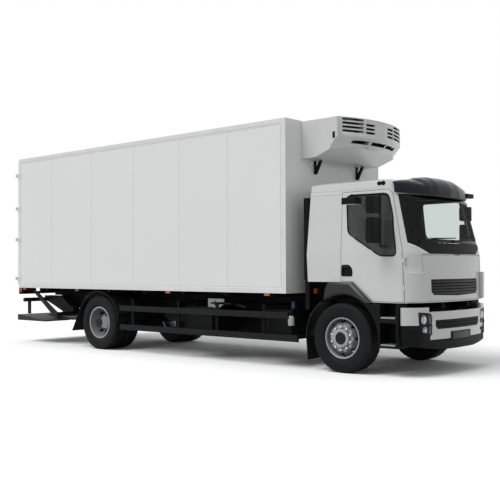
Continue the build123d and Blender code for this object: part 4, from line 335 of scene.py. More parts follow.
def add_tube(bm, points, radius, sides=8, closed=False):
    """A round tube along points."""
    points = [Vector(p) for p in points]
    rings, count = [], len(points)
    for k, p in enumerate(points):
        before = points[k - 1] if k or closed else p
        after = points[(k + 1) % count] if k < count - 1 or closed else p
        along = (after - before).normalized()
        side = along.cross(TUBE_UP).normalized()
        up = side.cross(along)
        rings.append([bm.verts.new(p + radius * (math.cos(a) * side + math.sin(a) * up))
                      for a in (2 * math.pi * n / sides for n in range(sides))])
    for k in range(count if closed else count - 1):
        a, b = rings[k], rings[(k + 1) % count]
        for n in range(sides):
            bm.faces.new((a[n - 1], a[n], b[n], b[n - 1]))
    if not closed:
        bm.faces.new(rings[0])
        bm.faces.new(rings[-1][::-1])


def bridge(bm, a, b):
    """Faces between two rows of points."""
    for n in range(len(a) - 1):
        bm.faces.new((a[n], a[n + 1], b[n + 1], b[n]))


def add_lathe(bm, profile, centre, steps=64, dent=None):
    """A profile of (radius, offset) turned about an axle along Y. dent(step, row) shortens a radius."""
    rings = []
    for k in range(steps):
        turn = 2 * math.pi * k / steps
        ring = []
        for row, (radius, offset) in enumerate(profile):
            r = radius - (dent(k, row) if dent else 0.0)
            place = (centre[0] + r * math.cos(turn), centre[1] + offset, centre[2] + r * math.sin(turn))
            ring.append(bm.verts.new(place))
        rings.append(ring)
    for k in range(steps):
        bridge(bm, rings[k - 1], rings[k])


TREES = {}


def skin(node, start, way):
    """The first point of a CAD node that a ray meets, and its normal."""
    if node not in TREES:
        mesh = nodes[node].data
        TREES[node] = BVHTree.FromPolygons([v.co for v in mesh.vertices],
                [tuple(p.vertices) for p in mesh.polygons])
    point, normal, _, _ = TREES[node].ray_cast(Vector(start), Vector(way))
    return point, normal


SIDE_REACH, FRONT_REACH = 3.0, 8.0


def outermost(names, start, way, axis):
    """The coordinate of the CAD nodes that stands farthest out along a ray's line."""
    found = [skin(name, start, way)[0] for name in names]
    return max([p[axis] for p in found if p is not None], key=lambda c: -way[axis] * c, default=None)


def side_y(names, x, z, side):
    """The outermost Y of the CAD nodes at a place on one side."""
    return outermost(names, (x, side * SIDE_REACH, z), (0, -side, 0), 1)


def front_x(names, y, z):
    """The foremost X of the CAD nodes at a place on the front."""
    return outermost(names, (FRONT_REACH, y, z), (-1, 0, 0), 0)


LINED = ("cab_roof", "cab_back", "cab_front", "cab_sides", "cab_door_left", "cab_door_right")
CAB_MIDDLE = Vector(at(0.25, 0, 1.95))
# The cooling unit cover's slot backs, and the slot walls that face each other, get a black material: painted
# shade in the slots
RECESSED = ("cooling_unit_cover",)
RECESS_DEPTH = 0.004
SLOT_BACK_DEPTH = 0.03
SLOT_BACK_WAY = 0.99
OFF_FACE = 0.0005
COVER_REAR = 0.06
LINING_LEAN = Vector((0.6, 1, 1))
# Radius bands of the front and rear rims that get the darker rim colour: painted shade
RIM_DARK_FRONT, RIM_DARK_REAR = (0.188, 0.268), (0.10, 0.268)
GUARD_RAILS = ((0.745, 0.855), (0.40, 0.51))
COWL_LOW = 1.65


def in_slot(face, outer, own):
    """Whether a face is a slot's back or one of its walls, which looks at the wall across from it. Such faces
    get painted shade.
    """
    depth = outer.find_nearest(face.center)[3]
    if face.normal.x > SLOT_BACK_WAY:
        return depth > SLOT_BACK_DEPTH
    across = own.ray_cast(face.center + face.normal * OFF_FACE, face.normal, 1.0)[0]
    return depth > RECESS_DEPTH and across is not None


def second_look(node, mesh):
    """Gives some faces of a piece a second material: lining, painted shade in the depth of slots and on a band
    of each rim, the cowl and others.
    """
    if node in LINED:
        chosen = {p.index for p in mesh.polygons if p.normal.dot((p.center - CAB_MIDDLE) * LINING_LEAN) < 0}
        mesh.materials.append(MATERIALS["inside"])
    elif node in RECESSED:
        bm = bmesh.new()
        bm.from_mesh(mesh)
        hull = bmesh.ops.convex_hull(bm, input=bm.verts)
        faces = {f for f in hull["geom"] if isinstance(f, bmesh.types.BMFace)}
        tree = BVHTree.FromPolygons([v.co.copy() for v in bm.verts],
                [[v.index for v in f.verts] for f in faces])
        bm.free()
        own = BVHTree.FromPolygons([v.co.copy() for v in mesh.vertices],
                [list(p.vertices) for p in mesh.polygons])
        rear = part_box(node)[0].x + COVER_REAR
        chosen = {p.index for p in mesh.polygons if in_slot(p, tree, own) and p.center.x > rear}
        # Black on the slots' backs and facing walls: painted shade
        mesh.materials.append(MATERIALS["hub"])
    elif node.startswith("rim"):
        # A band of each rim's dish gets the darker rim colour: painted shade
        band = RIM_DARK_FRONT if "front" in node else RIM_DARK_REAR
        wheel_x = FRONT_X if "front" in node else REAR_X
        radii = [math.hypot(p.center.x - wheel_x, p.center.z - WHEEL_Z) for p in mesh.polygons]
        chosen = {n for n, radius in enumerate(radii) if band[0] < radius < band[1]}
        mesh.materials.append(MATERIALS["rim_painted_shade"])
    elif node == "side_guards":
        chosen = {p.index for p in mesh.polygons if not any(a < p.center.z < b for a, b in GUARD_RAILS)}
        mesh.materials.append(MATERIALS["chassis"])
    elif node == "cab_black_trim":
        chosen = {p.index for p in mesh.polygons if p.center.z > COWL_LOW}
        mesh.materials.append(MATERIALS["black"])
    else:
        return
    for p in mesh.polygons:
        p.material_index = 1 if p.index in chosen else 0


SMOOTH_ANGLE = 24.0
BEVEL_ANGLE = 40.0
WELD = 0.00005


def smooth_copy(node, look, bevel=0.0):
    """The CAD node's own shape with smooth shading and softened edges."""
    mesh = nodes[node].data.copy()
    mesh.name = node + "_smooth"
    obj = linked(node + "_smooth", mesh)
    bm = bmesh.new()
    bm.from_mesh(mesh)
    bmesh.ops.remove_doubles(bm, verts=bm.verts, dist=WELD)
    bm.to_mesh(mesh)
    bm.free()
    mesh.materials.clear()
    mesh.materials.append(MATERIALS[look])
    second_look(node, mesh)
    mesh.shade_smooth()
    mesh.set_sharp_from_angle(angle=math.radians(SMOOTH_ANGLE))
    if bevel:
        soft = obj.modifiers.new("soft", "BEVEL")
        soft.width = bevel
        soft.segments = 2
        soft.limit_method = "ANGLE"
        soft.angle_limit = math.radians(BEVEL_ANGLE)
        soft.harden_normals = True
    even = obj.modifiers.new("even", "WEIGHTED_NORMAL")
    even.keep_sharp = True
    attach(obj, nodes[node]["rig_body"])
    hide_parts(node)
    return obj


EDGE = 0.004
FLARE_EDGE = 0.012
CRISP = 0.0
# The bevel of each piece that is shown smooth
SOFTENED = {
    "cab_roof": EDGE, "cab_back": CRISP, "cab_front": CRISP, "cab_sides": CRISP, "cab_door_left": CRISP,
    "cab_door_right": CRISP, "front_lid": CRISP, "corner_deflectors": EDGE, "front_bumper": EDGE,
    "bumper_lower_trim": EDGE, "cab_black_trim": FLARE_EDGE, "cooling_unit_housing": EDGE,
    "cooling_unit_cover": CRISP, "windscreen": CRISP, "cab_door_glass_left": CRISP,
    "cab_door_glass_right": CRISP, "headlamps": CRISP, "mirrors_left": EDGE, "mirrors_right": EDGE,
    "entry_steps": EDGE, "rim_front_left": CRISP, "rim_front_right": CRISP, "rims_rear_left": CRISP,
    "rims_rear_right": CRISP, "mudguards": CRISP, "axles": CRISP, "fuel_tank": CRISP, "side_boxes": EDGE,
    "side_guards": EDGE, "lift_platform": EDGE, "lift_frame": CRISP, "lift_arms": EDGE,
    "front_grille": CRISP, "air_intake": EDGE, "dashboard": EDGE, "cooling_unit_struts": CRISP,
}
look_of = {node: look for look, group in LOOKS.items() for node in group}
for node, bevel in SOFTENED.items():
    smooth_copy(node, look_of[node], bevel)


# Tyres
TREAD_STEPS = 160
TREAD_SLOT = 4
SLOT_DEPTH = 0.007
SHOULDER_SHARE, SHOULDER_RADIUS = 0.80, 0.48
# Share of the tyre's half width, radius
SIDEWALL_SHARES = (
    (0.753, 0.288), (0.793, 0.302), (0.87, 0.322), (0.935, 0.352), (0.962, 0.356), (0.975, 0.37),
    (1.0, 0.405), (1.0, 0.425), (0.99, 0.446), (0.997, 0.450), (0.985, 0.456), (0.955, 0.470),
    (0.925, 0.486), (0.88, 0.499), (0.835, 0.506))
RIB_SHARES = (
    (0.835, 0.507), (0.50, 0.507), (0.47, 0.495), (0.43, 0.495), (0.40, 0.507), (0.18, 0.507),
    (0.15, 0.495), (0.11, 0.495), (0.08, 0.507))


def tyre_profile(half):
    """Sidewall, shoulder and ribbed tread from one bead to the other."""
    out = [(radius, share * half) for share, radius in SIDEWALL_SHARES + RIB_SHARES[1:]]
    return out + [(radius, -offset) for radius, offset in reversed(out)]


def tyre(bm, centre, half):
    """One tyre with slots across its shoulders."""
    profile = tyre_profile(half)
    shoulder = [row for row, (radius, offset) in enumerate(profile)
                if abs(offset) > SHOULDER_SHARE * half and radius > SHOULDER_RADIUS]

    def dent(k, row):
        return SLOT_DEPTH if k % TREAD_SLOT == 0 and row in shoulder else 0.0

    add_lathe(bm, profile, centre, TREAD_STEPS, dent)


for side, word in SIDES:
    low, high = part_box("tyre_front_" + word)
    bm = bmesh.new()
    tyre(bm, (FRONT_X, (low.y + high.y) / 2, WHEEL_Z), (high.y - low.y) / 2)
    piece = new_piece("front_tyre_" + word, "tyre", bm, "front_wheel_" + word)
    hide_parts("tyre_front_" + word)
    low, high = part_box("tyres_rear_" + word)
    bm = bmesh.new()
    for y in (low.y + TWIN_HALF, high.y - TWIN_HALF):
        tyre(bm, (REAR_X, y, WHEEL_Z), TWIN_HALF)
    piece = new_piece("rear_tyres_" + word, "tyre", bm, "rear_wheels_" + word)
    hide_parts("tyres_rear_" + word)

# Hub caps and nut caps
HUB_CAP = ((0.0, 0.009), (0.03, 0.009), (0.034, 0.004), (0.06, 0.004), (0.066, 0.010), (0.078, 0.010),
        (0.088, 0.004), (0.092, 0.0))
STUD_CIRCLE = 0.1675
STUDS = 10
# Start and end outward from the rim, radius, sides, radius at the end
NUT_RODS = ((-0.026, 0.001, 0.0165, 6, 0.0165), (-0.002, 0.010, 0.0125, 12, 0.007))


def hub_details(side, wheel_x, body, node):
    """The dark cap over a hub's nose, and the caps of its nuts."""
    low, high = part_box(node)
    outer = high.y if side > 0 else low.y
    bm = bmesh.new()
    add_lathe(bm, [(r, side * o) for r, o in HUB_CAP], (wheel_x, outer, WHEEL_Z), 48)
    new_piece(body + "_hub_cap", "hub", bm, body)
    bm = bmesh.new()
    for n in range(STUDS):
        turn = math.radians(360 / STUDS * (n + 0.5))
        x, z = wheel_x + STUD_CIRCLE * math.cos(turn), WHEEL_Z + STUD_CIRCLE * math.sin(turn)
        y = side_y((node,), x, z, side)
        if y is not None:
            for start, end, radius, sides, end_radius in NUT_RODS:
                add_rod(bm, (x, y + side * start, z), (x, y + side * end, z), radius, sides, end_radius)
    new_piece(body + "_nut_caps", "bright", bm, body)


for side, word in SIDES:
    hub_details(side, FRONT_X, "front_wheel_" + word, "rim_front_" + word)
    hub_details(side, REAR_X, "rear_wheels_" + word, "rims_rear_" + word)

# Load body: panel seams, rivets and side lamps
SEAM_X = (-7.03, -5.74, -4.52, -3.32, -2.18)
SEAM_HALF = 0.0025
SEAM_SUNK = 0.002
SEAM_PROUD = 0.0008
SEAM_INSET = 0.07
TRIM_EDGE = 0.094
TRIM_REAR = 0.06
TRIM_LINE_HALF = 0.003
CORNER_LINE_HALF = 0.004
RIVET_PITCH = 0.15
RIVET_START = 0.1
RIVET_FOOT = 0.12
RIVET_RUN = 2.5
RIVET_INSET = 0.035
RIVET_FRONT, RIVET_REAR = 0.05, 0.04
RIVET_RADIUS, RIVET_TOP = 0.0055, 0.003
RIVET_SUNK, RIVET_PROUD = 0.001, 0.0022
RIVET_SIDES = 7
BODY_SKINS = ("body_trims", "body_sides")
body_low, body_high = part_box("body_sides")


def body_seams():
    """Thin joints between the side panels and along the trims."""
    bm = bmesh.new()
    low_z, high_z = body_low.z + TRIM_EDGE, body_high.z - TRIM_EDGE
    middle = (body_low + body_high) / 2
    for side, _ in SIDES:
        sunk, proud = side * SEAM_SUNK, side * SEAM_PROUD
        y = side * body_high.y
        for x in SEAM_X:
            add_box(bm, at(x - SEAM_HALF, y - sunk, body_low.z + SEAM_INSET),
                    at(x + SEAM_HALF, y + proud, body_high.z - SEAM_INSET))
        x = body_high.x - TRIM_EDGE
        for z in (low_z, high_z):
            y = side_y(BODY_SKINS, middle.x, z, side)
            add_box(bm, (body_low.x + TRIM_REAR, y - sunk, z - TRIM_LINE_HALF),
                    (x, y + proud, z + TRIM_LINE_HALF))
        y = side_y(BODY_SKINS, x, middle.z, side)
        add_box(bm, (x - CORNER_LINE_HALF, y - sunk, low_z), (x + CORNER_LINE_HALF, y + proud, high_z))
    new_piece("side_panel_joints", "joint", bm)


def rivet(bm, x, z, side, names):
    """A flat rivet head on the body's side."""
    y = side_y(names, x, z, side)
    add_rod(bm, (x, y - side * RIVET_SUNK, z), (x, y + side * RIVET_PROUD, z), RIVET_RADIUS, RIVET_SIDES,
            RIVET_TOP)


def body_rivets():
    """Rows of flat rivets along the corner trims."""
    bm = bmesh.new()
    along = int((body_high.x - body_low.x - 2 * RIVET_START) / RIVET_PITCH)
    for side, _ in SIDES:
        for z in (body_low.z + RIVET_INSET, body_high.z - RIVET_INSET):
            for n in range(along):
                rivet(bm, body_low.x + RIVET_START + n * RIVET_PITCH, z, side, BODY_SKINS)
        for n in range(int(RIVET_RUN / RIVET_PITCH)):
            for x in (body_high.x - RIVET_FRONT, body_low.x + RIVET_REAR):
                rivet(bm, x, body_low.z + RIVET_FOOT + n * RIVET_PITCH, side, (*BODY_SKINS, "rear_frame"))
    new_piece("trim_rivets", "alu", bm)


SIDE_LAMPS = ((-8.01, "red"), (-6.22, "red"), (-3.63, "orange"), (-1.37, "orange"))
SIDE_LAMP_Y, SIDE_LAMP_Z = 1.262, 1.118
BASE_TOP = body_low.z + 0.004 - SIDE_LAMP_Z
SIDE_LAMP_LENS = (((-0.055, 0.0, -0.019), (0.055, 0.022, 0.019), 0.006),)
SIDE_LAMP_BASE = (((-0.065, -0.03, -0.024), (0.065, 0.004, BASE_TOP), 0.002),)


def side_lamps():
    """Marker lamps under the body's edge."""
    for look in ("red", "orange"):
        lens, base = bmesh.new(), bmesh.new()
        for side, _ in SIDES:
            for x in [x for x, tint in SIDE_LAMPS if tint == look]:
                add_boxes(lens, SIDE_LAMP_LENS, side, side * SIDE_LAMP_Y, x, SIDE_LAMP_Z)
                add_boxes(base, SIDE_LAMP_BASE, side, side * SIDE_LAMP_Y, x, SIDE_LAMP_Z)
        new_piece("side_lamp_lenses_" + look, look, lens)
        new_piece("side_lamp_bases_" + look, "black", base)


body_seams()
body_rivets()
side_lamps()

# Cab: doors
HANDLE_OUTLINE = ((-0.046, 1.405), (-0.040, 1.574), (0.085, 1.576), (0.140, 1.530), (0.153, 1.470),
        (0.148, 1.405))
HANDLE_CORNER = 0.03
HANDLE_PLACE = (0.05, 1.49)
HANDLE_PLATE = 0.004
HANDLE_BOXES = (((-0.025, 0.0, 1.535), (0.105, 0.03, 1.562), 0.007),
                ((-0.030, 0.0, 1.43), (-0.012, 0.024, 1.55), 0.005))
LOCK_X, LOCK_Z = 0.09, 1.45
LOCK_RADIUS, LOCK_PROUD = 0.014, 0.008
GLASS_OUTLINE = ((0.022, 2.585), (0.062, 2.035), (0.612, 1.698), (0.885, 1.694), (0.803, 2.290),
        (0.722, 2.585))
GLASS_CORNER = 0.07
OUTLINE_PITCH = 0.05
RUBBER_RADIUS, RUBBER_PROUD = 0.011, 0.001


CORNER_SHARE = 0.45


def rounded(points, radius, steps=4):
    """An outline with its corners rounded."""
    out, count = [], len(points)
    for k in range(count):
        here, before, after = Vector(points[k]), Vector(points[k - 1]), Vector(points[(k + 1) % count])
        cut = min(radius, (before - here).length * CORNER_SHARE, (after - here).length * CORNER_SHARE)
        a, b = here + (before - here).normalized() * cut, here + (after - here).normalized() * cut
        for n in range(steps + 1):
            t = n / steps
            out.append((1 - t) ** 2 * a + 2 * t * (1 - t) * here + t ** 2 * b)
    return out


def even(points, pitch):
    """A closed outline divided evenly, so that it can follow a curved skin."""
    out = []
    for k, p in enumerate(points):
        q = points[(k + 1) % len(points)]
        count = max(1, round((q - p).length / pitch))
        out += [p.lerp(q, n / count) for n in range(count)]
    return out


def side_path(names, places, side, proud=0.0):
    """Points on one side's skin at places of X and Z, those off the skin left out."""
    found = [(x, side_y(names, AXLE + x, z, side), z) for x, z in places]
    return [at(x, y + side * proud, z) for x, y, z in found if y is not None]


def door_details(side, word):
    """Window rubber and handle of one door."""
    door, pane = "cab_door_" + word, "cab_door_glass_" + word
    bm = bmesh.new()
    outline = even(rounded(GLASS_OUTLINE, GLASS_CORNER), OUTLINE_PITCH)
    add_tube(bm, side_path((pane, door), outline, side, RUBBER_PROUD), RUBBER_RADIUS, 8, closed=True)
    new_piece(door + "_window_rubber", "black", bm, door, 60)
    bm = bmesh.new()
    shape = rounded([(AXLE + x, z) for x, z in HANDLE_OUTLINE], HANDLE_CORNER)
    y = side_y((door,), AXLE + HANDLE_PLACE[0], HANDLE_PLACE[1], side)
    add_prism(bm, shape, y - side * HANDLE_PLATE, y + side * HANDLE_PLATE)
    new_piece(door + "_handle_plate", "black", bm, door)
    bm = bmesh.new()
    add_boxes(bm, HANDLE_BOXES, side, y)
    add_rod(bm, at(LOCK_X, y, LOCK_Z), at(LOCK_X, y + side * LOCK_PROUD, LOCK_Z), LOCK_RADIUS, 16)
    new_piece(door + "_handle", "hub", bm, door)


for side, word in SIDES:
    door_details(side, word)

# Cab: lamp on the air intake, groove under the roof
INTAKE_LAMP_Y, INTAKE_LAMP_Z = 0.90, 1.175
INTAKE_LAMP = (((-0.002, -0.035, -0.040), (0.035, 0.035, 0.040), 0.012),)
GROOVE_SKINS = ("cab_sides", "cab_front", "cab_roof", "cab_back")
GROOVE_START, GROOVE_Z = -0.60, 2.615
GROOVE_PITCH, GROOVE_POINTS = 0.045, 13
GROOVE_RADIUS, GROOVE_PROUD = 0.003, 0.0005


def intake_lamps():
    """The small side lamp on the front of the air intake, on the side that has one."""
    bm = bmesh.new()
    for side, _ in SIDES:
        y = side * INTAKE_LAMP_Y
        point = skin("air_intake", at(0, y, INTAKE_LAMP_Z), (-1, 0, 0))[0]
        if point is not None:
            add_boxes(bm, INTAKE_LAMP, side, y, point.x - AXLE, INTAKE_LAMP_Z)
    new_piece("intake_side_lamps", "orange", bm, nodes["air_intake"]["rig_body"])


def groove_strip():
    """The shallow groove that runs round the rear of the cab under its roof."""
    bm = bmesh.new()
    for side, _ in SIDES:
        places = [(GROOVE_START + n * GROOVE_PITCH, GROOVE_Z) for n in range(GROOVE_POINTS)]
        add_tube(bm, side_path(GROOVE_SKINS, places, side, GROOVE_PROUD), GROOVE_RADIUS, 6)
    new_piece("cab_groove", "joint", bm, "cab")


intake_lamps()
groove_strip()

# Cab: the two seats, as stuffed cushions with sewn channels
SEAT_Y = 0.60
# Centre X and Z, half depth, half width, half height, lean, whether the channels lie on top
CUSHIONS = {"cushion": (-0.055, 1.674, 0.240, 0.240, 0.062, 0.0, True),
            "back": (-0.295, 2.002, 0.060, 0.240, 0.390, -0.154, False),
            "head": (-0.355, 2.472, 0.060, 0.130, 0.080, 0.0, False)}
SEAT_BOXES = (((-0.215, -0.12, 1.382), (0.105, 0.12, 1.625), 0.006),
              ((-0.365, -0.05, 2.36), (-0.345, 0.05, 2.42), 0.004))
CROWN_POWER = 4.5
CHANNEL_DEPTH = 0.009
CHANNEL_SHARES = (-0.42, 0.42)
CHANNEL_WIDTH_SHARE = 0.05


def cushion(bm, centre, half, lean, on_top):
    """A crowned closed form whose sides pull in, with two sewn channels."""
    made = bmesh.ops.create_icosphere(bm, subdivisions=4, radius=1.0)["verts"]
    for v in made:
        d = v.co.normalized()
        q = d * sum(abs(c) ** CROWN_POWER for c in d) ** (-1 / CROWN_POWER)
        near = sum(math.exp(-((q.y - c) / CHANNEL_WIDTH_SHARE) ** 2) for c in CHANNEL_SHARES)
        dent = CHANNEL_DEPTH * max(0.0, q.z if on_top else q.x) * near
        x, y, z = (c * h for c, h in zip(q, half))
        back, down = (0, dent) if on_top else (dent, 0)
        v.co = Vector(centre) + Vector((x + lean * z - back, y, z - down))


def seats():
    """Cushions, backs and headrests on plain bases, in place of the plain solids."""
    bases = bmesh.new()
    for side, word in SIDES:
        add_boxes(bases, SEAT_BOXES, side, side * SEAT_Y)
        for part, (x, z, deep, wide, high, lean, on_top) in CUSHIONS.items():
            bm = bmesh.new()
            cushion(bm, at(x, side * SEAT_Y, z), (deep, wide, high), lean, on_top)
            piece = new_piece("seat_" + part + "_" + word, "seat", bm, "cab", 60)
    piece = new_piece("seat_bases", "inside", bases, "cab")
    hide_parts("seats")


seats()

# Cab: windscreen and wipers
BAND_SIDE, BAND_LOW, BAND_HIGH = 0.075, 0.05, 0.06
BAND_INSET = 0.004
BAND_HALF_LOW, BAND_HALF_HIGH = 1.046, 1.000
BAND_OUT, BAND_SIDE_OUT = 0.0015, 0.0012
WIPERS = ((-0.86, 0.02), (-0.05, 0.80))
# Share of the way from pivot to tip, shift in Y, Z, distance off the glass
WIPER_POINTS = ((0.0, 0.0, 1.905, 0.02), (0.5, -0.05, 1.935, 0.03), (1.0, 0.0, 1.955, 0.028))
WIPER_SPINDLE = ((-0.03, 0, 0), (0.014, 0, 0), 0.017)
WIPER_ARM, WIPER_BLADE = 0.008, 0.007
BLADE_Z, BLADE_FALL, BLADE_OUT = 1.958, 0.018, 0.010
BLADE_SHARES = (0.0, 0.25, 0.5, 0.75)


def screen_point(y, z, out=0.0):
    """A point on the windscreen's skin, moved out along its normal."""
    point, normal = skin("windscreen", (FRONT_REACH, y, z), (-1, 0, 0))
    if point is None:
        return None
    if normal.x < 0:
        normal = -normal
    return point + normal * out


def frit():
    """The black painted band round the windscreen's edge."""
    low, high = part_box("windscreen")
    z0, z1 = low.z + BAND_INSET, high.z - BAND_INSET
    across, down, deep, wide = 28, 16, 3, 4

    def half(z):
        return BAND_HALF_LOW + (BAND_HALF_HIGH - BAND_HALF_LOW) * (z - z0) / (z1 - z0)

    bands = []
    for za, zb in ((z0, z0 + BAND_LOW), (z1 - BAND_HIGH, z1)):
        bands.append([[screen_point(half(za) * (2 * n / across - 1), za + (zb - za) * m / deep, BAND_OUT)
                       for n in range(across + 1)] for m in range(deep + 1)])
    for side in (1, -1):
        heights = [z0 + (z1 - z0) * n / down for n in range(down + 1)]
        bands.append([[screen_point(side * (half(z) - BAND_SIDE + BAND_SIDE * m / wide), z, BAND_SIDE_OUT)
                       for m in range(wide + 1)] for z in heights])
    bm = bmesh.new()
    for rows in bands:
        grid = [[bm.verts.new(p) if p is not None else None for p in row] for row in rows]
        for a, b in zip(grid, grid[1:]):
            for k in range(len(a) - 1):
                quad = (a[k], a[k + 1], b[k + 1], b[k])
                if all(v is not None for v in quad):
                    bm.faces.new(quad)
    new_piece("windscreen_band", "frit", bm, "cab")


def wipers():
    """Two wipers parked along the foot of the windscreen."""
    bm = bmesh.new()
    start, end, radius = WIPER_SPINDLE
    for pivot, tip in WIPERS:
        arm = [screen_point(pivot + (tip - pivot) * share + shift, z, out)
               for share, shift, z, out in WIPER_POINTS]
        add_rod(bm, arm[0] + Vector(start), arm[0] + Vector(end), radius, 14)
        add_tube(bm, arm, WIPER_ARM, 8)
        blade = [screen_point(tip + (pivot - tip) * t, BLADE_Z - BLADE_FALL * t, BLADE_OUT)
                 for t in BLADE_SHARES]
        add_tube(bm, [p for p in blade if p is not None], WIPER_BLADE, 6)
    new_piece("wipers", "black", bm, "cab", 50)


frit()
wipers()

# Cab: visor, marker lamps and grille. Rows of Y, foremost X, lip Z, crown Z from the front axle
VISOR_ROWS = ((0.0, 1.126, 2.572, 2.862), (0.30, 1.108, 2.572, 2.856), (0.50, 1.074, 2.573, 2.842),
              (0.62, 1.042, 2.575, 2.812), (0.80, 0.975, 2.580, 2.792), (0.92, 0.915, 2.586, 2.775),
              (1.01, 0.858, 2.592, 2.758), (1.065, 0.812, 2.598, 2.742))
VISOR_BACK = 0.775
VISOR_THICK = 0.014
VISOR_EASE_SHARE = 0.35
VISOR_NARROW_SHARE = 0.9
VISOR_FRONT_POWER, VISOR_CROWN_POWER = 0.95, 0.72
RIDGE_Y, RIDGE_HEIGHT, RIDGE_BLEND = 0.36, 0.014, 0.015
SCOOP_Y, SCOOP_DEPTH, SCOOP_WIDTH = 0.60, 0.030, 0.09
SCOOP_REACH_SHARE = 1.25
RIDGE_START_SHARE = 0.15
FRONT_MIRROR_BOX = (((0.93, 0.72, 2.61), (1.02, 0.96, 2.68), 0.02),)
FRONT_MIRROR_ARM = ((0.975, 0.84, 2.645), (0.86, 0.84, 2.645), 0.012)


def visor_row(y):
    """Foremost X, lip Z and crown Z of the visor at a distance from the middle."""
    y = min(abs(y), VISOR_ROWS[-1][0])
    for a, b in zip(VISOR_ROWS, VISOR_ROWS[1:]):
        if a[0] <= y <= b[0]:
            t = (y - a[0]) / (b[0] - a[0])
            t = t * t * (3 - 2 * t) * VISOR_EASE_SHARE + t * (1 - VISOR_EASE_SHARE)
            return [a[k] + (b[k] - a[k]) * t for k in (1, 2, 3)]


def visor_point(y, t, inward):
    """A point of the visor: t runs from its rear edge on the roof over the dome to the lip."""
    nose, lip, crown = visor_row(y)
    scoop = math.exp(-((abs(y) - SCOOP_Y) / SCOOP_WIDTH) ** 2)
    dish = SCOOP_DEPTH * scoop * math.sin(math.pi * min(1.0, t * SCOOP_REACH_SHARE)) ** 2
    swell = math.sin(math.pi * min(1.0, RIDGE_START_SHARE + t * (1 - RIDGE_START_SHARE))) ** 0.5
    ridge = RIDGE_HEIGHT / (1 + math.exp((abs(y) - RIDGE_Y) / RIDGE_BLEND)) * swell
    turn = math.pi / 2 * t
    reach, rise = nose - VISOR_BACK - inward, crown - lip - inward - dish + ridge
    return at(VISOR_BACK + reach * math.sin(turn) ** VISOR_FRONT_POWER, y * (1 - inward * VISOR_NARROW_SHARE),
              lip + rise * math.cos(turn) ** VISOR_CROWN_POWER)


def visor():
    """The smooth tinted visor, in place of the plain solid, and the small front mirror on its far side."""
    bm = bmesh.new()
    across, along = 84, 22
    half = VISOR_ROWS[-1][0]
    outer, inner = ([[bm.verts.new(visor_point(-half + 2 * half * i / across, j / along, inward))
                      for j in range(along + 1)] for i in range(across + 1)] for inward in (0.0, VISOR_THICK))
    for sheet in (outer, inner):
        for a, b in zip(sheet, sheet[1:]):
            bridge(bm, a, b)
    for end in (0, -1):
        bridge(bm, [row[end] for row in outer], [row[end] for row in inner])
        bridge(bm, outer[end], inner[end])
    piece = new_piece("visor_shell", "visor", bm, "cab", 50)
    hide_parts("sun_visor")
    bm = bmesh.new()
    add_boxes(bm, FRONT_MIRROR_BOX)
    start, end, radius = FRONT_MIRROR_ARM
    add_rod(bm, at(*start), at(*end), radius)
    new_piece("front_mirror", "black", bm, "cab")


MARKER_SKINS = ("cab_roof", "cab_sides", "cab_front")
MARKER_PLACE = (0.60, 2.732)
MARKER_X = (0.575, 0.633)
MARKER_SUNK, MARKER_PROUD = 0.02, 0.012
MARKER_BACK_Z, MARKER_FACE_Z = 2.735, 2.730
MARKER_RADIUS, MARKER_FACE_RADIUS = 0.034, 0.028
GRILLE_PITCH = 0.022
GRILLE_BAR_HALF = 0.0015
GRILLE_BACK, GRILLE_FRONT = 0.030, 0.012
GRILLE_INSET = 0.03


def marker_lamps():
    """The small lamps on the roof's edge."""
    bm = bmesh.new()
    for side, _ in SIDES:
        y = side_y(MARKER_SKINS, AXLE + MARKER_PLACE[0], MARKER_PLACE[1], side)
        for x in MARKER_X:
            back = at(x, y - side * MARKER_SUNK, MARKER_BACK_Z)
            face = at(x, y + side * MARKER_PROUD, MARKER_FACE_Z)
            add_rod(bm, back, face, MARKER_RADIUS, 18, MARKER_FACE_RADIUS)
    new_piece("roof_marker_lamps", "black", bm, "cab")


def grille_bars():
    """Fine upright bars behind the grille."""
    low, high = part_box("front_grille")
    bm = bmesh.new()
    for n in range(1, int((high.y - low.y) / GRILLE_PITCH)):
        y = low.y + n * GRILLE_PITCH
        x = front_x(("front_grille",), y, (low.z + high.z) / 2)
        if x is not None:
            add_box(bm, (x - GRILLE_BACK, y - GRILLE_BAR_HALF, low.z + GRILLE_INSET),
                    (x - GRILLE_FRONT, y + GRILLE_BAR_HALF, high.z - GRILLE_INSET))
    new_piece("grille_mesh", "black", bm, "front_lid")


visor()
marker_lamps()
grille_bars()

# Head lamps, bumper and steps
LAMP_CENTRES = ((0.885, 0.800, 0.062), (0.865, 0.655, 0.050))
LAMP_EDGE = ((0.735, 0.575), (0.940, 0.625), (1.000, 0.720), (1.010, 0.905), (0.755, 0.880))
LAMP_CORNER = 0.03
LAMP_BAR_Z, LAMP_BAR_Y = 0.727, (0.76, 0.82, 0.88, 0.94, 0.985)
LAMP_BAR_RADIUS, LAMP_FRAME_RADIUS, LAMP_RING_RADIUS = 0.009, 0.006, 0.004
FRAME_PROUD = 0.001
BOWL_SHARES = (0.12, 0.35, 0.6, 0.8, 1.0)
BOWL_DEPTH, BOWL_BACK, RING_BACK = 0.052, 0.014, 0.0125
BULB_BACK, BULB_FRONT = 0.062, 0.030
BULB_RADIUS, BULB_TIP = 0.011, 0.007
LAMP_STEPS = 28


def lamp_bowl(bm, x, y, z, radius):
    """A shallow reflector bowl behind the clear cover."""
    rings = []
    for k in range(LAMP_STEPS):
        a = 2 * math.pi * k / LAMP_STEPS
        rings.append([bm.verts.new((x - BOWL_BACK - BOWL_DEPTH * (1 - t * t), y + radius * t * math.cos(a),
                                    z + radius * t * math.sin(a))) for t in BOWL_SHARES])
    for k in range(LAMP_STEPS):
        bridge(bm, rings[k], rings[k - 1])


def front_path(names, places):
    """Points on the front skin at places of Y and Z, those off the skin left out."""
    found = [(front_x(names, y, z), y, z) for y, z in places]
    return [(x + FRAME_PROUD, y, z) for x, y, z in found if x is not None]


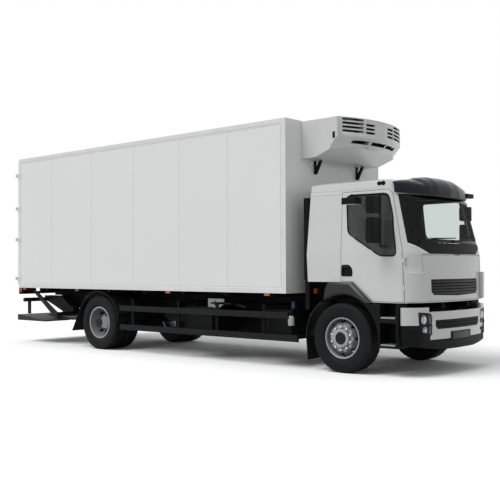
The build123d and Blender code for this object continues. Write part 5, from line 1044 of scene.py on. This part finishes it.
def head_lamps():
    """Reflector bowls and bulbs behind the clear covers, with a dark housing."""
    bowls, frames, bulbs, rings = bmesh.new(), bmesh.new(), bmesh.new(), bmesh.new()
    turns = [2 * math.pi * k / LAMP_STEPS for k in range(LAMP_STEPS)]
    for side, _ in SIDES:
        for place, z, radius in LAMP_CENTRES:
            y = side * place
            x = front_x(("headlamps",), y, z)
            if x is None:
                continue
            lamp_bowl(bowls, x, y, z, radius)
            add_rod(bulbs, (x - BULB_BACK, y, z), (x - BULB_FRONT, y, z), BULB_RADIUS, 12, BULB_TIP)
            ring = [(x - RING_BACK, y + radius * math.cos(a), z + radius * math.sin(a)) for a in turns]
            add_tube(rings, ring, LAMP_RING_RADIUS, 6, closed=True)
        outline = even(rounded(LAMP_EDGE, LAMP_CORNER), OUTLINE_PITCH)
        path = front_path(("headlamps", "front_bumper", "bumper_lower_trim"),
                [(side * y, z) for y, z in outline])
        add_tube(frames, path, LAMP_FRAME_RADIUS, 6, closed=True)
        path = front_path(("headlamps",), [(side * y, LAMP_BAR_Z) for y in LAMP_BAR_Y])
        add_tube(frames, path, LAMP_BAR_RADIUS, 8)
    new_piece("lamp_bowls", "bright", bowls, smooth=60)
    new_piece("lamp_bulbs", "lens_plain", bulbs, smooth=60)
    new_piece("lamp_rings", "bright", rings, smooth=60)
    new_piece("lamp_frames", "black", frames, smooth=60)


PLATE_Z = 0.552
PLATE = {"plate_frame": ("black", ((-0.001, -0.262, -0.055), (0.004, 0.262, 0.055), 0.0015)),
         "blank_plate": ("plate", ((0.002, -0.255, -0.049), (0.0055, 0.255, 0.049), 0.001))}
BUMPER_SKINS = ("front_bumper", "bumper_lower_trim")
BUMPER_JOINT_Z = (0.515, 0.724)
BUMPER_JOINT_Y = (0.80, 0.9, 1.0, 1.08, 1.14)
BUMPER_JOINT_RISE, BUMPER_JOINT_PROUD, BUMPER_JOINT_RADIUS = 0.004, 0.0005, 0.003
STEP_Z = (0.455, 0.835)
STEP_Y = 1.232
STEP_BOXES = (((0.675, -0.20, -0.001), (0.905, -0.004, 0.004), 0.001),
              ((0.675, -0.012, -0.016), (0.905, 0.002, 0.004), 0.0015))
STEP_RIBS, STEP_RIB_X, STEP_RIB_PITCH = 11, 0.69, 0.02
STEP_RIB = (((0.0, -0.19, 0.003), (0.006, -0.02, 0.0065), 0.0),)


def bumper_details():
    """The blank number plate in its frame, and the joints of the bumper's corners."""
    x = front_x(("bumper_lower_trim",), 0.0, PLATE_Z)
    for name, (look, box) in PLATE.items():
        bm = bmesh.new()
        add_boxes(bm, (box,), x=x - AXLE, z=PLATE_Z)
        new_piece(name, look, bm)
    bm = bmesh.new()
    for side, _ in SIDES:
        for z in BUMPER_JOINT_Z:
            found = [(front_x(BUMPER_SKINS, side * y, z + BUMPER_JOINT_RISE), side * y) for y in BUMPER_JOINT_Y]
            path = [(x + BUMPER_JOINT_PROUD, y, z) for x, y in found if x is not None]
            add_tube(bm, path, BUMPER_JOINT_RADIUS, 6)
    new_piece("bumper_joints", "frit", bm)


def step_edges():
    """Bright ribbed tread plates on the entry steps."""
    bm = bmesh.new()
    for side, _ in SIDES:
        for z in STEP_Z:
            add_boxes(bm, STEP_BOXES, side, side * STEP_Y, z=z)
            for n in range(STEP_RIBS):
                add_boxes(bm, STEP_RIB, side, side * STEP_Y, STEP_RIB_X + n * STEP_RIB_PITCH, z)
    new_piece("step_treads", "tread", bm)


head_lamps()
bumper_details()
step_edges()

# Mirrors: X, Y and Z of each head from the front axle, half width, half height
MIRROR_ROWS = ((0.66, 1.385, 2.050, 0.115, 0.176), (0.66, 1.385, 2.404, 0.115, 0.115))
MIRROR_DEPTH = 0.120
MIRROR_RIM = 0.018
MIRROR_RIM_RADIUS, MIRROR_RIM_CORNER = 0.005, 0.02
PLATE_BEHIND, PLATE_AHEAD, GLASS_EDGE = 0.003, 0.002, 0.0015
KERB_MIRROR_BOX = (((0.18, 1.31, 2.426), (0.40, 1.43, 2.4315), 0.001),)


def mirror_glass(side, word):
    """Mirror plates on the rearward faces, with their rims."""
    glass_bm, rim = bmesh.new(), bmesh.new()
    for x, y, z, half_y, half_z in MIRROR_ROWS:
        back = AXLE + x - MIRROR_DEPTH / 2
        y0, y1 = side * (y - half_y + MIRROR_RIM), side * (y + half_y - MIRROR_RIM)
        z0, z1 = z - half_z + MIRROR_RIM, z + half_z - MIRROR_RIM
        add_box(glass_bm, (back - PLATE_BEHIND, y0, z0), (back + PLATE_AHEAD, y1, z1), GLASS_EDGE)
        line = rounded([(back - FRAME_PROUD, *p) for p in ((y0, z0), (y1, z0), (y1, z1), (y0, z1))],
                MIRROR_RIM_CORNER)
        add_tube(rim, line, MIRROR_RIM_RADIUS, 6, closed=True)
    if side < 0:
        add_boxes(glass_bm, KERB_MIRROR_BOX, side)
    body = "cab_door_" + word
    new_piece("mirror_glass_" + word, "mirror", glass_bm, body)
    new_piece("mirror_rims_" + word, "hub", rim, body, 60)


for side, word in SIDES:
    mirror_glass(side, word)

# Cooling unit
UNIT_SKINS = ("cooling_unit_housing", "cooling_unit_cover")
UNIT_SEAM_X = -0.285
UNIT_SEAM_TOP, UNIT_SEAM_PITCH, UNIT_SEAM_POINTS = 0.01, 0.040, 9
UNIT_SEAM_RADIUS = 0.003
UNIT_CATCH_X, UNIT_CATCH_Z = -0.345, 3.555
UNIT_CATCH = (((-0.364, -0.004, 3.507), (-0.326, 0.010, 3.603), 0.004),)


def unit_details():
    """Side catches and the joints between cover and housing."""
    catches, joints = bmesh.new(), bmesh.new()
    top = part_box("cooling_unit_housing")[1].z
    for side, _ in SIDES:
        add_boxes(catches, UNIT_CATCH, side, side_y(UNIT_SKINS, AXLE + UNIT_CATCH_X, UNIT_CATCH_Z, side))
        places = [(UNIT_SEAM_X, top - UNIT_SEAM_TOP - n * UNIT_SEAM_PITCH) for n in range(UNIT_SEAM_POINTS)]
        add_tube(joints, side_path(UNIT_SKINS, places, side), UNIT_SEAM_RADIUS, 6)
    new_piece("unit_catches", "black", catches)
    new_piece("unit_joints", "joint", joints)


unit_details()

# Dark sheets over the front wheels, and dark sheets of painted shade behind the cab and behind the side guards
ARCH_RADIUS, ARCH_THICK = 0.622, 0.004
ARCH_IN, ARCH_OUT = 0.46, 1.045
ARCH_FROM, ARCH_TO = math.radians(18), math.radians(118)
ARCH_STEPS = 22
ARCH_SIDE_SHEETS = (((-0.62, 0.452, 0.93), (0.42, 0.456, 1.20), 0.0),)
# Dark sheets where there is only shade under the body, behind the side guards and behind the cab: painted shade
GUARD_SHEETS = {1: (((-4.35, 0.40, 0.33), (-0.95, 0.406, 0.72), 0.0),),
                -1: (((-4.35, 0.40, 0.40), (-0.95, 0.406, 0.72), 0.0),)}
REAR_SHEET = (((-0.955, -0.62, 1.0), (-0.950, 0.62, 1.32), 0.0),)


def arch_liner(bm, side):
    """A curved sheet over one front wheel."""
    sweep = [ARCH_FROM + (ARCH_TO - ARCH_FROM) * n / ARCH_STEPS for n in range(ARCH_STEPS + 1)]
    rows = [[bm.verts.new(at(radius * math.cos(a), side * y, WHEEL_Z + radius * math.sin(a))) for a in sweep]
            for radius, y in ((ARCH_RADIUS, ARCH_IN), (ARCH_RADIUS, ARCH_OUT),
                              (ARCH_RADIUS + ARCH_THICK, ARCH_OUT), (ARCH_RADIUS + ARCH_THICK, ARCH_IN))]
    for k in range(4):
        bridge(bm, rows[k - 1], rows[k])
    for end in (0, -1):
        bm.faces.new([row[end] for row in rows])


def liners():
    """All the dark sheets: the arch liners, and the sheets of painted shade behind the side guards and behind
    the cab.
    """
    arches, sheets = bmesh.new(), bmesh.new()
    for side, _ in SIDES:
        arch_liner(arches, side)
        add_boxes(arches, ARCH_SIDE_SHEETS, side)
        add_boxes(sheets, GUARD_SHEETS[side], side)
    add_boxes(sheets, REAR_SHEET)
    new_piece("front_arch_liners", "black", arches)
    # The sheets behind the guards and the cab are painted shade
    new_piece("painted_shade_sheets", "chassis", sheets)


liners()

# Under the body: bracket plate, filler and cap, the side guards' fittings, rear lamps
BRACKET_Y, BRACKET_THICK = -1.10, 0.006
BRACKET_OUTLINE = ((-2.82, 0.865), (-2.57, 0.865), (-2.45, 0.93), (-2.45, 1.02), (-2.82, 1.02))
BRACKET_HOLES = ((-2.745, 0.017), (-2.65, 0.036), (-2.555, 0.017))
BRACKET_HOLE_Z, HOLE_BACK, HOLE_FACE = 0.945, 0.004, 0.0075
BRACKET_BOXES = (((-2.78, -1.10, 0.90), (-2.52, -1.05, 0.99), 0.004),
        ((-2.75, -1.11, 0.93), (-2.30, -0.43, 0.96), 0.004))
BRACKET_PIPE = ((-2.2, -1.08, 0.93), (-1.98, -1.08, 0.90), 0.02)
# Two ends from the front axle, and the radius at each
BLUE_CAP = (((-1.10, -0.95, 0.90), (-1.10, -0.95, 0.985), 0.036, 0.032),
        ((-1.10, -0.95, 0.985), (-1.10, -0.95, 1.0), 0.041, 0.036))
FILLER_NECK = (((-1.03, -1.10, 0.64), (-1.03, -1.10, 0.76), 0.05, 0.05),
        ((-1.03, -1.10, 0.76), (-1.03, -1.10, 0.79), 0.042, 0.038))
FILLER_STEM = (((-1.03, -1.10, 0.50), (-1.03, -1.10, 0.645), 0.03, 0.03),)
FILLER_BOXES = (((-1.14, -1.16, 0.44), (-0.92, -0.43, 0.50), 0.006),
        ((-1.16, -1.02, 0.80), (-1.04, -0.43, 0.90), 0.006))


def add_rods(bm, rows, sides):
    """Round bars from a table of two ends and the radius at each."""
    for start, end, radius, end_radius in rows:
        add_rod(bm, at(*start), at(*end), radius, sides, end_radius)


def under_details():
    """The bracket plate and the filler between the wheels on the near side."""
    y = BRACKET_Y
    bm = bmesh.new()
    add_prism(bm, [(AXLE + x, z) for x, z in BRACKET_OUTLINE], y, y - BRACKET_THICK)
    new_piece("bracket_plate", "plate_grey", bm)
    bm = bmesh.new()
    for x, radius in BRACKET_HOLES:
        add_rod(bm, at(x, y - HOLE_BACK, BRACKET_HOLE_Z), at(x, y - HOLE_FACE, BRACKET_HOLE_Z), radius, 20)
    add_boxes(bm, BRACKET_BOXES)
    start, end, radius = BRACKET_PIPE
    add_rod(bm, at(*start), at(*end), radius)
    new_piece("bracket_plate_fixings", "hub", bm)
    bm = bmesh.new()
    add_rods(bm, BLUE_CAP, 20)
    new_piece("blue_cap", "blue", bm)
    bm = bmesh.new()
    add_rods(bm, FILLER_NECK, 24)
    new_piece("filler_neck", "unit", bm)
    bm = bmesh.new()
    add_rods(bm, FILLER_STEM, 20)
    add_boxes(bm, FILLER_BOXES)
    new_piece("filler_shelf", "black", bm)


GUARD_Y = 1.262
# Rear end, front end, low edge and high edge of each rail
GUARD_ROWS = ((-4.96, -0.97, 0.75, 0.85), (-4.95, -0.78, 0.405, 0.505))
GUARD_POSTS = (-1.48, -2.50, -3.42, -4.62)
GUARD_GROOVE, GUARD_GROOVE_HALF, GUARD_GROOVE_END = 0.033, 0.0035, 0.03
GUARD_GROOVE_SUNK, GUARD_GROOVE_PROUD = 0.001, 0.0008
GUARD_CAP_HALF, GUARD_CAP_IN, GUARD_CAP_RIM = 0.004, 0.03, 0.002
GUARD_BOLT_RISE, GUARD_BOLT_RADIUS, GUARD_BOLT_PROUD = 0.022, 0.010, 0.007


def guard_details():
    """Grooves and end caps on the side guards' rails, and bolts at their posts."""
    caps, bolts = bmesh.new(), bmesh.new()
    for side, _ in SIDES:
        y = side * GUARD_Y
        for x0, x1, z0, z1 in GUARD_ROWS:
            for z in (z0 + GUARD_GROOVE, z1 - GUARD_GROOVE):
                add_box(bolts, at(x0 + GUARD_GROOVE_END, y - side * GUARD_GROOVE_SUNK, z - GUARD_GROOVE_HALF),
                        at(x1 - GUARD_GROOVE_END, y + side * GUARD_GROOVE_PROUD, z + GUARD_GROOVE_HALF))
            for x in (x0, x1):
                add_box(caps, at(x - GUARD_CAP_HALF, y - side * GUARD_CAP_IN, z0 - GUARD_CAP_RIM),
                        at(x + GUARD_CAP_HALF, y + side * GUARD_CAP_RIM, z1 + GUARD_CAP_RIM), GUARD_CAP_RIM)
            for x in GUARD_POSTS:
                for rise in (-GUARD_BOLT_RISE, GUARD_BOLT_RISE):
                    z = (z0 + z1) / 2 + rise
                    add_rod(bolts, at(x, y, z), at(x, y + side * GUARD_BOLT_PROUD, z), GUARD_BOLT_RADIUS, 6)
    new_piece("guard_end_caps", "black", caps)
    new_piece("guard_bolts", "hub", bolts)


# Look, and how far in from the lamp's outer end each lens starts and ends
LENS_ROWS = (("red", 0.02, 0.13), ("orange", 0.14, 0.21), ("lens_plain", 0.22, 0.27), ("red", 0.28, 0.345))
LENS_PROUD, LENS_SUNK, LENS_INSET, LENS_CHAMFER = 0.008, 0.004, 0.012, 0.004


def rear_lamp_details():
    """Lens bands of the rear lamp boxes: red, orange and clear."""
    low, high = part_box("rear_lamps")
    parts = {"red": bmesh.new(), "orange": bmesh.new(), "lens_plain": bmesh.new()}
    for side, _ in SIDES:
        for look, a, b in LENS_ROWS:
            add_box(parts[look], (low.x - LENS_PROUD, side * (high.y - a), low.z + LENS_INSET),
                    (low.x + LENS_SUNK, side * (high.y - b), high.z - LENS_INSET), LENS_CHAMFER)
    for look, bm in parts.items():
        new_piece("rear_lamp_lenses_" + look, look, bm)


under_details()
guard_details()
rear_lamp_details()

# Camera, at the photograph's place and angle
FOCAL_PIXELS = 823.1
PICTURE_PIXELS = 500.0
SENSOR = 0.036
CAMERA_PLACE = Vector((10.501, -11.091, 1.533))
CAMERA_YAW = math.radians(41.425)
CAMERA_PITCH = math.radians(1.25)
CAMERA_ROLL = math.radians(-0.222)


def aimed_camera():
    """The camera, turned by yaw, pitch and roll."""
    flat = math.cos(CAMERA_PITCH)
    look = Vector((-math.sin(CAMERA_YAW) * flat, math.cos(CAMERA_YAW) * flat, math.sin(CAMERA_PITCH)))
    right = Vector((math.cos(CAMERA_YAW), math.sin(CAMERA_YAW), 0))
    up = right.cross(look)
    level = right * math.cos(CAMERA_ROLL) + up * math.sin(CAMERA_ROLL)
    top = up * math.cos(CAMERA_ROLL) - right * math.sin(CAMERA_ROLL)
    data = bpy.data.cameras.new("camera")
    data.sensor_width = SENSOR * 1000
    data.lens = FOCAL_PIXELS / PICTURE_PIXELS * data.sensor_width
    data.clip_end = 200
    camera = linked("camera", data)
    turn = Matrix((level, top, -look)).transposed().to_4x4()
    camera.matrix_world = Matrix.Translation(CAMERA_PLACE) @ turn
    bpy.context.scene.camera = camera


aimed_camera()

# Studio: pale floor, even sky, one soft key lamp from the near side
FLOOR_SIZE = 120.0
FLOOR_SEEN, FLOOR_BOUNCE = (1.0, 1.0, 1.0), (0.30, 0.30, 0.30)
SKY_TONE = (0.985, 0.995, 1.0)
SKY_BEHIND, SKY_AHEAD = 0.86, 0.46
KEY_ANGLE = math.radians(34)
KEY_POWER = 1.75
KEY_TILT = math.radians(33)
KEY_TURN = math.radians(-20)


def seen_directly(tree):
    """1 for camera, glossy and transmission rays, else 0."""
    path = tree.nodes.new("ShaderNodeLightPath")
    total = path.outputs["Is Camera Ray"]
    for name in ("Is Glossy Ray", "Is Transmission Ray"):
        add = tree.nodes.new("ShaderNodeMath")
        add.operation = "MAXIMUM"
        tree.links.new(total, add.inputs[0])
        tree.links.new(path.outputs[name], add.inputs[1])
        total = add.outputs[0]
    return total


def studio():
    """Floor, world and lamp."""
    mesh = bpy.data.meshes.new("studio_floor")
    half = FLOOR_SIZE / 2
    mesh.from_pydata([(-half, -half, 0), (half, -half, 0), (half, half, 0), (-half, half, 0)], [],
            [(0, 1, 2, 3)])
    floor = linked("studio_floor", mesh)
    material, tree, shader, _ = node_tree("studio_floor")
    tone = blended(tree, seen_directly(tree), FLOOR_BOUNCE, FLOOR_SEEN)
    tree.links.new(tone, shader.inputs["Base Color"])
    put(shader, {"Roughness": 1.0, "Specular IOR Level": 0.0})
    mesh.materials.append(material)
    world = bpy.data.worlds.new("studio")
    bpy.context.scene.world = world
    world.use_nodes = True
    tree = world.node_tree
    sky = tree.nodes["Background"]
    put(sky, {"Color": (*SKY_TONE, 1)})
    place = tree.nodes.new("ShaderNodeTexCoord")
    split = tree.nodes.new("ShaderNodeSeparateXYZ")
    span = {"From Min": -1.0, "From Max": 1.0, "To Min": SKY_BEHIND, "To Max": SKY_AHEAD}
    level = added(tree, "MapRange", span)
    tree.links.new(place.outputs["Generated"], split.inputs[0])
    tree.links.new(split.outputs["X"], level.inputs["Value"])
    tree.links.new(level.outputs["Result"], sky.inputs["Strength"])
    plain = added(tree, "Background", {"Color": (1, 1, 1, 1)})
    mix = tree.nodes.new("ShaderNodeMixShader")
    tree.links.new(seen_directly(tree), mix.inputs["Fac"])
    tree.links.new(sky.outputs["Background"], mix.inputs[1])
    tree.links.new(plain.outputs["Background"], mix.inputs[2])
    tree.links.new(mix.outputs["Shader"], tree.nodes["World Output"].inputs["Surface"])
    lamp = bpy.data.lights.new("key", "SUN")
    lamp.energy = KEY_POWER
    lamp.angle = KEY_ANGLE
    linked("key", lamp).rotation_euler = (KEY_TILT, 0, KEY_TURN)


studio()
bpy.context.scene.view_settings.view_transform = "Standard"
